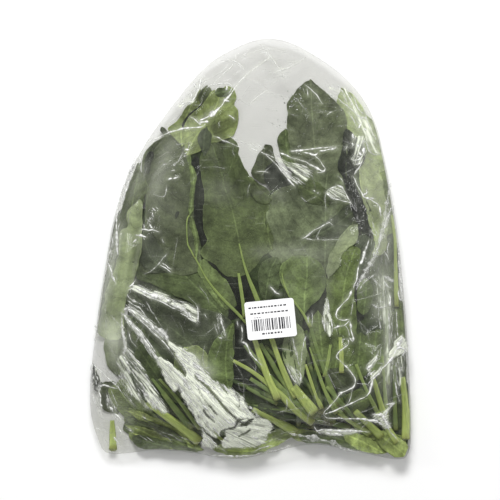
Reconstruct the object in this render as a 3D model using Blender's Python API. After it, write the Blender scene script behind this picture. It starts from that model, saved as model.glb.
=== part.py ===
"""A clear bag of large spinach leaves, lying on its back: the filled bag, and the paper label on its front.

Metres, +Z up. The bag's closed end, a round dome, is at +Y, and its square foot at -Y, where the leaves'
stems are. Its front faces +Z. The origin is on the floor, under the middle of the bag's bounding box.
"""

import math

import bmesh
import bpy
import numpy as np
from mathutils import Matrix, Vector

MM = 0.001

# Driving sizes of the bag as it lies.
BAG_WIDTH = 264 * MM
BAG_LENGTH = 346 * MM
BAG_HEIGHT = 66 * MM

# The four sides of the outline, seen from above, in millimetres. Each runs on from the one before it,
# anticlockwise, and a smooth curve joins them. The whole is then fitted to BAG_WIDTH and BAG_LENGTH.
FOOT = [(-124, -160), (-114, -169), (-77, -166), (-48, -168), (-13, -173), (17, -168), (50, -161), (84, -166),
        (119, -173)]
RIGHT_SIDE = [(130, -168), (132, -140), (128, -60), (121, 12), (111, 70)]
DOME = [(101, 108), (80, 139), (43, 165), (15, 173), (-12, 165)]
LEFT_SIDE = [(-42, 144), (-86, 86), (-108, 38), (-119, -15), (-129, -85), (-131.5, -130)]

# The mesh is a grid laid between the four sides, and rings behind them that turn under to the flat base.
GRID_ACROSS, GRID_ALONG = 52, 58
BACK_RINGS = 4
BASE_SHARE = 0.87  # the flat base is the outline drawn in to this share of its size

# The rim, where front and back meet. It hangs lowest at the empty dome.
RIM_HEIGHT = 16 * MM
RIM_RISE_AT_STEMS = 5 * MM
RIM_DROP_AT_DOME = 6 * MM

# The pile's crown at stations along the bag: (y, height), in millimetres.
CROWN = [(-173, 44), (-120, 57), (-40, 62), (40, 58), (100, 44), (140, 30), (173, 22)]
SHOULDER = 62 * MM  # the front rises from the rim to its crown over this distance
SHOULDER_FULLNESS = 0.62  # 0.5 is a quarter ellipse, and more is slacker

# Where the bag is empty the film lies flatter: (x, y, reach in millimetres, share of height lost).
SLACK_SPOTS = [(-124, -160, 42, 0.62), (128, -166, 34, 0.55), (-60, 128, 34, 0.30)]

# Folds of the film over the leaves: start, end, height and half width, in millimetres.
FOLDS = {
    "shoulder_crease": ((-86, 86), (-26, 106), 3.6, 6),
    "shoulder_crease_end": ((-26, 106), (16, 156), 3.0, 6),
    "middle_crease": ((-24, 90), (58, 64), 2.6, 6),
    "middle_crease_tail": ((58, 64), (84, 72), 2.2, 6),
    "right_crease": ((84, 60), (108, 28), 3.2, 6),
    "right_gully": ((92, 122), (100, 6), -4.0, 9),
    "right_roll": ((120, 48), (86, -30), 3.4, 6),
    "right_roll_tail": ((102, -8), (80, -58), 2.6, 5.5),
    "left_band": ((-98, -30), (-40, -60), 3.2, 6.5),
    "left_gully": ((-92, 60), (-104, -30), -3.0, 9),
    "foot_tent": ((68, -76), (86, -112), 3.4, 6),
    "foot_tent_left": ((86, -112), (60, -134), 3.0, 6),
    "foot_tent_right": ((88, -120), (128, -84), 3.0, 6),
    "corner_gully": ((-126, -96), (-74, -158), -4.5, 11),
    "broad_fold": ((-70, -84), (2, -160), 4.6, 9),
    "broad_fold_valley": ((-84, -96), (-26, -162), -3.2, 7),
}
# Pleats that fan out from one spot on the left, over the lower leaves to the foot.
PLEAT_ROOT = (-104, -50)
PLEAT_START, PLEAT_END = 14, 112
PLEAT_ANGLES_DEG = (-83, -71, -60, -24)
PLEAT_HEIGHT, PLEAT_HALF_WIDTH = 2.6, 5.5

# The pile's own unevenness: waves across the bag, waves along it, phase, height in millimetres.
SWELLS = [(1.4, 0.6, 0.4, 1.4), (-0.8, 1.7, 2.1, 1.3), (2.3, -1.2, 4.0, 1.0), (0.5, 2.9, 5.2, 0.8)]

# Gathers of the film along the rim, front and back: waves round the rim, phase, depth in millimetres.
GATHERS = [(19, 0.3, 1.0), (31, 1.9, 0.8), (47, 4.4, 0.6)]
GATHER_REACH = 22 * MM

# The label: a rounded rectangle of paper stuck on the front.
LABEL_WIDTH, LABEL_LENGTH, LABEL_CORNER = 40 * MM, 31 * MM, 2.2 * MM
LABEL_THICKNESS = 0.3 * MM
LABEL_GAP = 0.3 * MM
LABEL_CENTRE = (16.5 * MM, -57 * MM)
LABEL_TURN_DEG = 5.8
LABEL_FLAT_MARGIN = 6 * MM  # the film is pulled flat this far round the label
LABEL_BLEND = 12 * MM


def clear_scene():
    for obj in list(bpy.data.objects):
        bpy.data.objects.remove(obj)


def new_collection(name):
    made = bpy.data.collections.new(name)
    bpy.context.scene.collection.children.link(made)
    return made


def material(name, colour, roughness, metallic=0.0):
    made = bpy.data.materials.new(name)
    made.use_nodes = True
    shader = made.node_tree.nodes["Principled BSDF"]
    shader.inputs["Base Color"].default_value = (*colour, 1.0)
    shader.inputs["Roughness"].default_value = roughness
    shader.inputs["Metallic"].default_value = metallic
    return made


def smooth_step(value):
    clipped = min(1.0, max(0.0, value))
    return clipped * clipped * (3 - 2 * clipped)


def smooth_between(stations, at):
    """The value at one station along a list of (station, value), with no kink at any of them."""
    for (low, first), (high, last) in zip(stations, stations[1:]):
        if at <= high:
            return first + (last - first) * smooth_step((at - low) / (high - low))
    return stations[-1][1]


def catmull_rom(before, start, end, after, t):
    """A point on the smooth curve from start to end."""
    return 0.5 * (
        2 * start
        + (end - before) * t
        + (2 * before - 5 * start + 4 * end - after) * t**2
        + (3 * start - before - 3 * end + after) * t**3
    )


def smooth_sides():
    """The outline's four sides as dense rows of points that meet end to end, fitted to the bag's size."""
    sides = [FOOT, RIGHT_SIDE, DOME, LEFT_SIDE]
    knots = [np.array(point, float) for side in sides for point in side]
    count, steps, rows, first = len(knots), 24, [], 0
    for side in sides:
        row = [
            catmull_rom(*(knots[(first + i + k) % count] for k in (-1, 0, 1, 2)), step / steps)
            for i in range(len(side))
            for step in range(steps)
        ]
        first += len(side)
        row.append(knots[first % count])
        rows.append(np.array(row))
    every = np.vstack(rows)
    low, high = every.min(axis=0), every.max(axis=0)
    return [(row - (low + high) / 2) / (high - low) * (BAG_WIDTH, BAG_LENGTH) for row in rows]


def spaced(row, count):
    """count + 1 points evenly spaced along a dense row."""
    along = np.concatenate([[0], np.cumsum(np.linalg.norm(np.diff(row, axis=0), axis=1))])
    wanted = np.linspace(0, along[-1], count + 1)
    return np.stack([np.interp(wanted, along, row[:, axis]) for axis in (0, 1)], axis=1)


def point_between_sides(foot, right, dome, left, i, j):
    """The point of the grid at column i and row j, blended from the four sides."""
    u, v = i / GRID_ACROSS, j / GRID_ALONG
    corners = (1 - u) * (1 - v) * foot[0] + u * (1 - v) * foot[-1] + (1 - u) * v * dome[0] + u * v * dome[-1]
    return (1 - v) * foot[i] + v * dome[i] + (1 - u) * left[j] + u * right[j] - corners


def depth_inside(point, rim):
    """Distance in from the rim, smoothed so that it has no ridge half way between two sides."""
    ahead = np.roll(rim, -1, axis=0)
    middles, lengths = (rim + ahead) / 2, np.linalg.norm(ahead - rim, axis=1)
    away = np.maximum(np.linalg.norm(middles - point, axis=1), 0.2 * MM)
    return math.sqrt(2 / float(np.sum(lengths / away**3)))


def ridge(point, start, end, height, half_width):
    """Height in metres of one rounded fold at a point in metres. The fold is in millimetres."""
    a, b, p = Vector(start), Vector(end), Vector(point) / MM
    along = (p - a).dot(b - a) / (b - a).length_squared
    away = (p - a.lerp(b, min(1.0, max(0.0, along)))).length / half_width
    return height * MM * math.exp(-away * away)


def folds(point):
    """Height that the film's folds and pleats add at a point."""
    total = sum(ridge(point, *fold) for fold in FOLDS.values())
    root = Vector(PLEAT_ROOT)
    for angle in PLEAT_ANGLES_DEG:
        heading = Vector((math.cos(math.radians(angle)), math.sin(math.radians(angle))))
        start, end = root + heading * PLEAT_START, root + heading * PLEAT_END
        total += ridge(point, start, end, PLEAT_HEIGHT, PLEAT_HALF_WIDTH)
    return total


def swells(point):
    """Height that the uneven pile adds at a point."""
    across, along = 2 * math.pi * point[0] / BAG_WIDTH, 2 * math.pi * point[1] / BAG_LENGTH
    return sum(h * MM * math.sin(i * across + j * along + phase) for i, j, phase, h in SWELLS)


def gathers(point):
    """Depth of the gathers round the rim, in the direction of a point."""
    turn = math.atan2(point[1] / BAG_LENGTH, point[0] / BAG_WIDTH)
    return sum(depth * MM * math.sin(waves * turn + phase) for waves, phase, depth in GATHERS)


def rim_height(point):
    """Height of the rim at a point of the outline."""
    across, along = 2 * point[0] / BAG_WIDTH, 2 * point[1] / BAG_LENGTH
    rise = RIM_RISE_AT_STEMS * across * smooth_step(0.4 - along)
    return RIM_HEIGHT + rise - RIM_DROP_AT_DOME * smooth_step(along) + gathers(point)


def front_height(point, rim):
    """Height of the bag's front at a point inside the rim."""
    inside = depth_inside(point, rim)
    filled = (1 - (1 - min(1.0, inside / SHOULDER)) ** 2) ** SHOULDER_FULLNESS
    for x, y, reach, lost in SLACK_SPOTS:
        away = math.hypot(point[0] / MM - x, point[1] / MM - y) / reach
        filled *= 1 - lost * math.exp(-away * away)
    edge = rim_height(point)
    near_rim = math.exp(-((inside / GATHER_REACH) ** 2))
    relief = (folds(point) + swells(point)) * (1 - near_rim)
    return edge + (smooth_between(CROWN, point[1] / MM) * MM - edge) * filled + relief


def shape_front(mesh, foot, right, dome, left):
    """Makes the front as a grid between the sides, at its own height. Returns its rim's edges."""
    rim = np.vstack([foot[:-1], right[:-1], dome[::-1][:-1], left[::-1][:-1]])
    bmesh.ops.create_grid(mesh, x_segments=GRID_ACROSS, y_segments=GRID_ALONG, size=1.0)
    for vertex in mesh.verts:
        i = round((vertex.co.x + 1) / 2 * GRID_ACROSS)
        j = round((vertex.co.y + 1) / 2 * GRID_ALONG)
        point = point_between_sides(foot, right, dome, left, i, j)
        height = rim_height(point) if vertex.is_boundary else front_height(point, rim)
        vertex.co = (*point, height)
    return [edge for edge in mesh.edges if edge.is_boundary]


def fit_height(mesh):
    """Scales the front so that its crown stands exactly BAG_HEIGHT over the floor."""
    highest = max(vertex.co.z for vertex in mesh.verts)
    for vertex in mesh.verts:
        vertex.co.z *= BAG_HEIGHT / highest


def ring_place(ring):
    """Where one ring of the back lies: its share of the rim's outline, and its share of the rim's height."""
    turn = ring / BACK_RINGS * math.pi / 2
    return 1 - (1 - BASE_SHARE) * (1 - math.cos(turn)), 1 - math.sin(turn)


def shape_back(mesh, edges):
    """Turns the rim under in rings, each drawn in and lowered, and closes them with the flat base."""
    for ring in range(1, BACK_RINGS + 1):
        made = bmesh.ops.extrude_edge_only(mesh, edges=edges)["geom"]
        edges = [item for item in made if isinstance(item, bmesh.types.BMEdge)]
        (share, height), (share_before, height_before) = ring_place(ring), ring_place(ring - 1)
        for vertex in (item for item in made if isinstance(item, bmesh.types.BMVert)):
            vertex.co.xy *= share / share_before
            vertex.co.z *= height / height_before
    for edge in edges:
        for vertex in edge.verts:
            vertex.co.z = 0
    bmesh.ops.contextual_create(mesh, geom=edges)


def label_offset(x, y):
    """How far x, y lies outside the label's rectangle, in metres, 0 inside it."""
    turn = Matrix.Rotation(math.radians(-LABEL_TURN_DEG), 2)
    own = turn @ Vector((x - LABEL_CENTRE[0], y - LABEL_CENTRE[1]))
    past = (max(0.0, abs(own.x) - LABEL_WIDTH / 2), max(0.0, abs(own.y) - LABEL_LENGTH / 2))
    return math.hypot(*past)


def flatten_under_label(mesh):
    """Pulls the film round the label onto the plane that fits it best: (a, b, c) in z = a + b x + c y."""
    under = [v.co for v in mesh.verts if label_offset(v.co.x, v.co.y) <= LABEL_FLAT_MARGIN]
    rows = np.array([(1.0, p.x, p.y) for p in under])
    plane = [float(value) for value in np.linalg.lstsq(rows, np.array([p.z for p in under]), rcond=None)[0]]
    for vertex in mesh.verts:
        keep = smooth_step((label_offset(vertex.co.x, vertex.co.y) - LABEL_FLAT_MARGIN) / LABEL_BLEND)
        flat = plane[0] + plane[1] * vertex.co.x + plane[2] * vertex.co.y
        vertex.co.z = flat + (vertex.co.z - flat) * keep
    return plane


def make_bag(collection):
    """The filled bag as one closed solid. Returns the plane that its label lies on."""
    foot, right, dome, left = smooth_sides()
    foot, dome = spaced(foot, GRID_ACROSS), spaced(dome[::-1], GRID_ACROSS)
    right, left = spaced(right, GRID_ALONG), spaced(left[::-1], GRID_ALONG)
    mesh = bmesh.new()
    edges = shape_front(mesh, foot, right, dome, left)
    fit_height(mesh)
    plane = flatten_under_label(mesh)
    shape_back(mesh, edges)
    bmesh.ops.recalc_face_normals(mesh, faces=mesh.faces)
    data = bpy.data.meshes.new("bag")
    mesh.to_mesh(data)
    mesh.free()
    data.shade_smooth()
    bag = bpy.data.objects.new("bag", data)
    bag.data.materials.append(material("leaves_in_clear_film", (0.13, 0.19, 0.07), 0.35))
    collection.objects.link(bag)
    return plane


def rounded_rectangle(width, length, corner, corner_steps=6):
    """Corner points of a rounded rectangle round the origin, anticlockwise."""
    points = []
    for quarter in range(4):
        across = (1, -1, -1, 1)[quarter] * (width / 2 - corner)
        along = (1, 1, -1, -1)[quarter] * (length / 2 - corner)
        for step in range(corner_steps + 1):
            angle = (quarter + step / corner_steps) * math.pi / 2
            points.append((across + corner * math.cos(angle), along + corner * math.sin(angle)))
    return points


def make_label(collection, plane):
    """The paper label, flat over the plane z = a + b x + c y, with the gap that touching pieces keep."""
    curve = bpy.data.curves.new("label", "CURVE")
    curve.dimensions = "2D"
    curve.fill_mode = "BOTH"
    curve.extrude = LABEL_THICKNESS / 2
    points = rounded_rectangle(LABEL_WIDTH, LABEL_LENGTH, LABEL_CORNER)
    spline = curve.splines.new("POLY")
    spline.points.add(len(points) - 1)
    for point, (x, y) in zip(spline.points, points):
        point.co = (x, y, 0, 1)
    spline.use_cyclic_u = True
    label = bpy.data.objects.new("label", curve)
    a, b, c = plane
    normal = Vector((-b, -c, 1)).normalized()
    lean = Vector((0, 0, 1)).rotation_difference(normal).to_matrix().to_4x4()
    foot = Vector((*LABEL_CENTRE, a + b * LABEL_CENTRE[0] + c * LABEL_CENTRE[1]))
    turn = Matrix.Rotation(math.radians(LABEL_TURN_DEG), 4, "Z")
    label.matrix_world = Matrix.Translation(foot + normal * (LABEL_GAP + LABEL_THICKNESS / 2)) @ lean @ turn
    label.data.materials.append(material("label_paper", (0.86, 0.86, 0.84), 0.5))
    collection.objects.link(label)


def main():
    clear_scene()
    collection = new_collection("bag_of_spinach")
    plane = make_bag(collection)
    make_label(collection, plane)


main()
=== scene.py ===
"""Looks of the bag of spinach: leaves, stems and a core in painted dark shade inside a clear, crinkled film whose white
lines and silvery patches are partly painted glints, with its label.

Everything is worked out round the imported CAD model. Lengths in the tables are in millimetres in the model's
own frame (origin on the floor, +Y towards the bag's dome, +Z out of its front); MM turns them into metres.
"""

import math

import bmesh
import bpy
import numpy as np
from mathutils import Matrix, Vector
from mathutils.bvhtree import BVHTree


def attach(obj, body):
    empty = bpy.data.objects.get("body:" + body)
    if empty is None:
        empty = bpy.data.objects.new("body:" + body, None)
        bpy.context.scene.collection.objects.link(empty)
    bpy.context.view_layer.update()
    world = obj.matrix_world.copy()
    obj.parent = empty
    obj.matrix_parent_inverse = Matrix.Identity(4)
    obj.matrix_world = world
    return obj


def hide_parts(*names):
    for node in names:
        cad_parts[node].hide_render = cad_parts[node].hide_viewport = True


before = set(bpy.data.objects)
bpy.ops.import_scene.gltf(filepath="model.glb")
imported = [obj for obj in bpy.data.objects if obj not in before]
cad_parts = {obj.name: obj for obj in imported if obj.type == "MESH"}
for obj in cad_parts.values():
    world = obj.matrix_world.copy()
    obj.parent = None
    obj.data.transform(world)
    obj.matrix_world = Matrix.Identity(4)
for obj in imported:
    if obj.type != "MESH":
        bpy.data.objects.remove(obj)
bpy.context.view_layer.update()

MM = 0.001
SEED = 20


# ---------------------------------------------------------------- small helpers

def smooth_step(value):
    clipped = np.clip(value, 0.0, 1.0)
    return clipped * clipped * (3 - 2 * clipped)


def smooth_row(points, count):
    """count points, evenly spaced along a smooth curve through the given points."""
    knots = np.array(points, float)
    if len(knots) == 2:
        return knots[0] + np.linspace(0, 1, count)[:, None] * (knots[1] - knots[0])
    ends = np.vstack([2 * knots[0] - knots[1], knots, 2 * knots[-1] - knots[-2]])
    rows = []
    for before, start, end, after in zip(ends, ends[1:], ends[2:], ends[3:]):
        t = np.linspace(0, 1, 16, endpoint=False)[:, None]
        rows.append(0.5 * (2 * start + (end - before) * t + (2 * before - 5 * start + 4 * end - after) * t**2
                           + (3 * start - before - 3 * end + after) * t**3))
    return spaced(np.vstack([*rows, knots[-1:]]), count)


def spaced(row, count):
    """count points evenly spaced along a dense row."""
    along = np.concatenate([[0], np.cumsum(np.linalg.norm(np.diff(row, axis=0), axis=1))])
    wanted = np.linspace(0, along[-1], count)
    return np.stack([np.interp(wanted, along, row[:, axis]) for axis in range(row.shape[1])], axis=1)


def hashed(i, j, seed):
    """A repeatable value in 0..1 for each pair of whole numbers."""
    mixed = np.sin(i * 127.1 + j * 311.7 + seed * 74.7) * 43758.5453
    return mixed - np.floor(mixed)


def value_noise(x, y, seed=0):
    """Smooth noise in -1..1 with features about 1 unit across."""
    i, j = np.floor(x), np.floor(y)
    u, v = smooth_step(x - i), smooth_step(y - j)
    low = hashed(i, j, seed) * (1 - u) + hashed(i + 1, j, seed) * u
    high = hashed(i, j + 1, seed) * (1 - u) + hashed(i + 1, j + 1, seed) * u
    return (low * (1 - v) + high * v) * 2 - 1


def ridged(x, y, seed=0):
    """Sharp-crested noise in 0..1, highest along wandering lines."""
    return 1 - np.abs(value_noise(x, y, seed) * 0.65 + value_noise(x * 2.1, y * 2.1, seed + 9) * 0.35) * 2


def new_mesh_object(name, points, faces, smooth=True):
    data = bpy.data.meshes.new(name)
    data.from_pydata(np.asarray(points, float).tolist(), [], faces)
    data.polygons.foreach_set("use_smooth", [smooth] * len(data.polygons))
    data.update()
    made = bpy.data.objects.new(name, data)
    bpy.context.scene.collection.objects.link(made)
    return made


def grid_faces(rows, columns, first=0, flip=False):
    """Quads of a rows by columns grid of points whose indices start at first."""
    start = (np.arange(rows - 1)[:, None] * columns + np.arange(columns - 1)[None, :]).ravel() + first
    quads = np.stack([start, start + 1, start + columns + 1, start + columns], axis=1)
    return (quads[:, ::-1] if flip else quads).tolist()


def set_attribute(obj, name, kind, values):
    """Writes one value, or one vector, for each vertex."""
    attribute = obj.data.attributes.new(name, kind, "POINT")
    key = {"FLOAT": "value", "FLOAT_VECTOR": "vector", "FLOAT_COLOR": "color"}[kind]
    attribute.data.foreach_set(key, np.asarray(values, np.float32).ravel())


# ---------------------------------------------------------------- the CAD bag as a height map

GRID = 1.0  # millimetres a cell
HALF_X, HALF_Y = 140, 180  # the map reaches this far from the origin


def map_axes():
    return np.arange(-HALF_X, HALF_X + GRID, GRID), np.arange(-HALF_Y, HALF_Y + GRID, GRID)


MAP_X, MAP_Y = map_axes()


def look_up(height_map, x, y):
    """The map's value at points in millimetres, blended between cells."""
    i = np.clip((np.asarray(x) + HALF_X) / GRID, 0, height_map.shape[1] - 1.001)
    j = np.clip((np.asarray(y) + HALF_Y) / GRID, 0, height_map.shape[0] - 1.001)
    i0, j0 = i.astype(int), j.astype(int)
    u, v = i - i0, j - j0
    return ((height_map[j0, i0] * (1 - u) + height_map[j0, i0 + 1] * u) * (1 - v)
            + (height_map[j0 + 1, i0] * (1 - u) + height_map[j0 + 1, i0 + 1] * u) * v)


def box_blur(height_map, radius, passes=3):
    """The map smoothed over about radius millimetres."""
    reach = max(1, int(round(radius / GRID / math.sqrt(passes))))
    result = height_map
    for _ in range(passes):
        for axis in (0, 1):
            pad = [(reach + 1, reach) if a == axis else (0, 0) for a in (0, 1)]
            total = np.cumsum(np.pad(result, pad, mode="edge"), axis=axis)
            width = 2 * reach + 1
            high = np.take(total, range(width, total.shape[axis]), axis=axis)
            low = np.take(total, range(0, total.shape[axis] - width), axis=axis)
            result = (high - low) / width
    return result


def cad_bag():
    """The CAD bag as a welded bmesh."""
    mesh = bmesh.new()
    mesh.from_mesh(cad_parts["bag"].data)
    bmesh.ops.remove_doubles(mesh, verts=mesh.verts, dist=1e-6)
    bmesh.ops.recalc_face_normals(mesh, faces=mesh.faces)
    return mesh


def cad_rim(mesh):
    """The points round the rim, where the CAD bag's front meets its back, anticlockwise from the left corner."""
    up = {face: face.normal.z > 0.02 for face in mesh.faces}
    edges = [e for e in mesh.edges if len(e.link_faces) == 2 and up[e.link_faces[0]] != up[e.link_faces[1]]]
    linked = {}
    for edge in edges:
        for vertex in edge.verts:
            linked.setdefault(vertex, []).append(edge)
    start = max(linked, key=lambda v: v.co.y)
    loop, edge, vertex = [start], linked[start][0], linked[start][0].other_vert(start)
    while vertex is not start:
        loop.append(vertex)
        edge = next(e for e in linked[vertex] if e is not edge)
        vertex = edge.other_vert(vertex)
    points = np.array([v.co[:] for v in loop]) / MM
    x, y = points[:, 0], points[:, 1]
    if np.sum(x * np.roll(y, -1) - np.roll(x, -1) * y) < 0:
        points = points[::-1]
    return points


def height_maps(mesh):
    """Heights of the CAD bag's front and back over the map, in millimetres, 0 outside it."""
    tree = BVHTree.FromBMesh(mesh)
    front = np.zeros((len(MAP_Y), len(MAP_X)))
    back = np.zeros_like(front)
    step = 2
    for j in range(0, len(MAP_Y), step):
        for i in range(0, len(MAP_X), step):
            x, y = MAP_X[i] * MM, MAP_Y[j] * MM
            top = tree.ray_cast(Vector((x, y, 1)), Vector((0, 0, -1)))[0]
            if top is None:
                continue
            low = tree.ray_cast(Vector((x, y, -1)), Vector((0, 0, 1)))[0]
            front[j:j + step, i:i + step] = top.z / MM
            back[j:j + step, i:i + step] = low.z / MM
    return front, back


BAG_MESH = cad_bag()
RIM = cad_rim(BAG_MESH)
FRONT_RAW, BACK_RAW = height_maps(BAG_MESH)
INSIDE = FRONT_RAW > 0


def rim_depth(x, y):
    """Smoothed distance in from the rim, in millimetres, at points inside it."""
    ahead = np.roll(RIM[:, :2], -1, axis=0)
    middles, lengths = (RIM[:, :2] + ahead) / 2, np.linalg.norm(ahead - RIM[:, :2], axis=1)
    total = np.zeros(np.shape(x))
    for (mx, my), length in zip(middles, lengths):
        total += length / np.maximum(np.hypot(x - mx, y - my), 0.3) ** 3
    return np.sqrt(2 / total)


DEPTH = np.where(INSIDE, rim_depth(*np.meshgrid(MAP_X, MAP_Y)), 0)


def label_plane():
    """The label's under side as (a, b, c) in z = a + b x + c y, in millimetres, with its middle."""
    points = np.array([v.co[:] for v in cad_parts["label"].data.vertices]) / MM
    rows = np.column_stack([np.ones(len(points)), points[:, 0], points[:, 1]])
    plane = np.linalg.lstsq(rows, points[:, 2], rcond=None)[0]
    lowest = np.min(points[:, 2] - rows @ plane)
    return plane + np.array([lowest, 0, 0]), points[:, :2].mean(axis=0)


LABEL_PLANE, LABEL_MIDDLE = label_plane()
LABEL_TURN = math.radians(5.8)
LABEL_SIZE = (40.0, 31.0)


def label_offset(x, y):
    """How far points lie outside the label's rectangle, in millimetres, 0 inside it."""
    c, s = math.cos(LABEL_TURN), math.sin(LABEL_TURN)
    dx, dy = x - LABEL_MIDDLE[0], y - LABEL_MIDDLE[1]
    across = np.maximum(0, np.abs(dx * c + dy * s) - LABEL_SIZE[0] / 2)
    along = np.maximum(0, np.abs(dy * c - dx * s) - LABEL_SIZE[1] / 2)
    return np.hypot(across, along)


# ---------------------------------------------------------------- the film's ground form

COLUMNS, ROWS = 239, 319  # both odd: the film's back has half as many steps each way
FACET_SMOOTHING = 26  # rounds of smoothing that take the CAD's facets out of the film


def rim_sides(columns, rows):
    """The rim as four rows of points: foot and dome from left to right, left and right from foot to dome."""
    left_corner = int(np.argmin(RIM[:, 0] + RIM[:, 1]))
    loop = np.roll(RIM, -left_corner, axis=0)
    right_corner = int(np.argmax(loop[:, 0] - loop[:, 1]))
    on_right = np.arange(len(loop)) > right_corner
    right_shoulder = int(np.argmin(np.where(on_right & (loop[:, 0] > 0), np.abs(loop[:, 1] - 88), 1e9)))
    left_shoulder = int(np.argmin(np.where(on_right & (loop[:, 0] < 0), np.abs(loop[:, 1] - 95), 1e9)))
    loop = np.vstack([loop, loop[:1]])
    foot = spaced(loop[:right_corner + 1], columns)
    right = spaced(loop[right_corner:right_shoulder + 1], rows)
    dome = spaced(loop[right_shoulder:left_shoulder + 1][::-1], columns)
    left = spaced(loop[left_shoulder:][::-1], rows)
    return foot, right, dome, left


def between_sides(columns, rows):
    """A rows by columns grid of points laid between the rim's four sides."""
    foot, right, dome, left = rim_sides(columns, rows)
    u = np.linspace(0, 1, columns)[None, :, None]
    v = np.linspace(0, 1, rows)[:, None, None]
    corners = ((1 - u) * (1 - v) * foot[0] + u * (1 - v) * foot[-1] + (1 - u) * v * dome[0] + u * v * dome[-1])
    return (1 - v) * foot[None] + v * dome[None] + (1 - u) * left[:, None] + u * right[:, None] - corners


def drop_onto_cad(points, from_above):
    """Gives the inner points of a grid the height of the CAD bag's front or back, smoothed over its facets."""
    tree = BVHTree.FromBMesh(BAG_MESH)
    start, heading = (1.0, Vector((0, 0, -1))) if from_above else (-1.0, Vector((0, 0, 1)))
    heights = points[:, :, 2].copy()
    for j in range(1, points.shape[0] - 1):
        for i in range(1, points.shape[1] - 1):
            hit = tree.ray_cast(Vector((points[j, i, 0] * MM, points[j, i, 1] * MM, start)), heading)[0]
            if hit is not None:
                heights[j, i] = hit.z / MM
    for _ in range(FACET_SMOOTHING if from_above else 3):
        inner = (heights[:-2, 1:-1] + heights[2:, 1:-1] + heights[1:-1, :-2] + heights[1:-1, 2:]) / 4
        heights[1:-1, 1:-1] = inner
    return heights


def scatter_to_map(points, heights, empty=0.0):
    """A map of heights given at scattered points, the highest in each cell."""
    made = np.full((len(MAP_Y), len(MAP_X)), -1e9)
    i = np.round((points[..., 0] + HALF_X) / GRID).astype(int).clip(0, len(MAP_X) - 1)
    j = np.round((points[..., 1] + HALF_Y) / GRID).astype(int).clip(0, len(MAP_Y) - 1)
    np.maximum.at(made, (j.ravel(), i.ravel()), np.asarray(heights).ravel())
    missing = made < -1e8
    known = np.where(missing, 0, made)
    weight = box_blur((~missing).astype(float), 2)
    filled = box_blur(known, 2) / np.maximum(weight, 1e-6)
    return np.where(missing, np.where(weight > 0.05, filled, empty), made)


FILM_POINTS = between_sides(COLUMNS, ROWS)
FILM_POINTS[:, :, 2] = drop_onto_cad(FILM_POINTS, from_above=True)
FILM_MAP = scatter_to_map(FILM_POINTS, FILM_POINTS[:, :, 2])
CLEARANCE = 1.6  # between the highest leaf and the film
X_MAP, Y_MAP = np.meshgrid(MAP_X, MAP_Y)
UNDER_LABEL = LABEL_PLANE[0] + LABEL_PLANE[1] * X_MAP + LABEL_PLANE[2] * Y_MAP - 1.0
NEAR_LABEL = 1 - smooth_step((label_offset(X_MAP, Y_MAP) - 6) / 10)
LIMIT = FILM_MAP - CLEARANCE
LIMIT = LIMIT + (np.minimum(LIMIT, UNDER_LABEL - 0.6) - LIMIT) * NEAR_LABEL


def carried_out(height_map, reach=4):
    """The map with its values inside the bag carried a little way past the rim."""
    weight = box_blur(INSIDE.astype(float), reach)
    beyond = box_blur(np.where(INSIDE, height_map, 0), reach) / np.maximum(weight, 1e-6)
    return np.where(INSIDE, height_map, np.where(weight > 0.02, beyond, 0))


LIMIT = carried_out(LIMIT)
GROUND = carried_out(BACK_RAW + 0.9)


# ---------------------------------------------------------------- the heap: a core in painted dark shade, then leaf on leaf

# The outline of the filling, anticlockwise. The bag's dome, the notch between the two top leaves and the
# left corner at the foot are empty.
FILLING = [
    (-95, -157), (-41, -161), (0, -164), (24, -157), (66, -157), (98, -157), (125, -157), (126, -108), (123, -42),
    (118, 15), (111, 56), (100, 98), (80, 106), (59, 124), (41, 120), (31, 97), (25, 66), (12, 58), (-1, 48),
    (-9, 69), (-15, 93), (-20, 122), (-45, 112), (-70, 86), (-91, 66), (-103, 15), (-109, -42), (-116, -83), (-114, -122),
]
CORE_INSET = 9  # how far inside the filling's outline the core stays
CORE_SHARE = 0.80  # the core's top, as a share of the height under the film
CORE_SHOULDER = 31


def inside_outline(outline, x, y):
    """True for points inside a closed outline."""
    found = np.zeros(np.shape(x), bool)
    corners = np.array(outline, float)
    for (x0, y0), (x1, y1) in zip(corners, np.roll(corners, -1, axis=0)):
        crosses = (y0 > y) != (y1 > y)
        at = x0 + (y - y0) * (x1 - x0) / np.where(y1 == y0, 1e-9, y1 - y0)
        found ^= crosses & (x < at)
    return found


def outline_depth(outline, x, y):
    """Distance to the nearest side of an outline, positive inside it."""
    corners = np.array(outline, float)
    nearest = np.full(np.shape(x), 1e9)
    for a, b in zip(corners, np.roll(corners, -1, axis=0)):
        along = np.clip(((x - a[0]) * (b - a)[0] + (y - a[1]) * (b - a)[1]) / np.dot(b - a, b - a), 0, 1)
        nearest = np.minimum(nearest, np.hypot(x - a[0] - along * (b - a)[0], y - a[1] - along * (b - a)[1]))
    return np.where(inside_outline(outline, x, y), nearest, -nearest)


FILLING_DEPTH = outline_depth(FILLING, X_MAP, Y_MAP)


def core_height():
    depth = np.clip((FILLING_DEPTH - CORE_INSET) / CORE_SHOULDER, 0, 1)
    rise = (1 - (1 - depth) ** 2) ** 0.6
    return np.where(FILLING_DEPTH > CORE_INSET, GROUND + 2 + (LIMIT * CORE_SHARE - GROUND - 2) * rise, GROUND)


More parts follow.
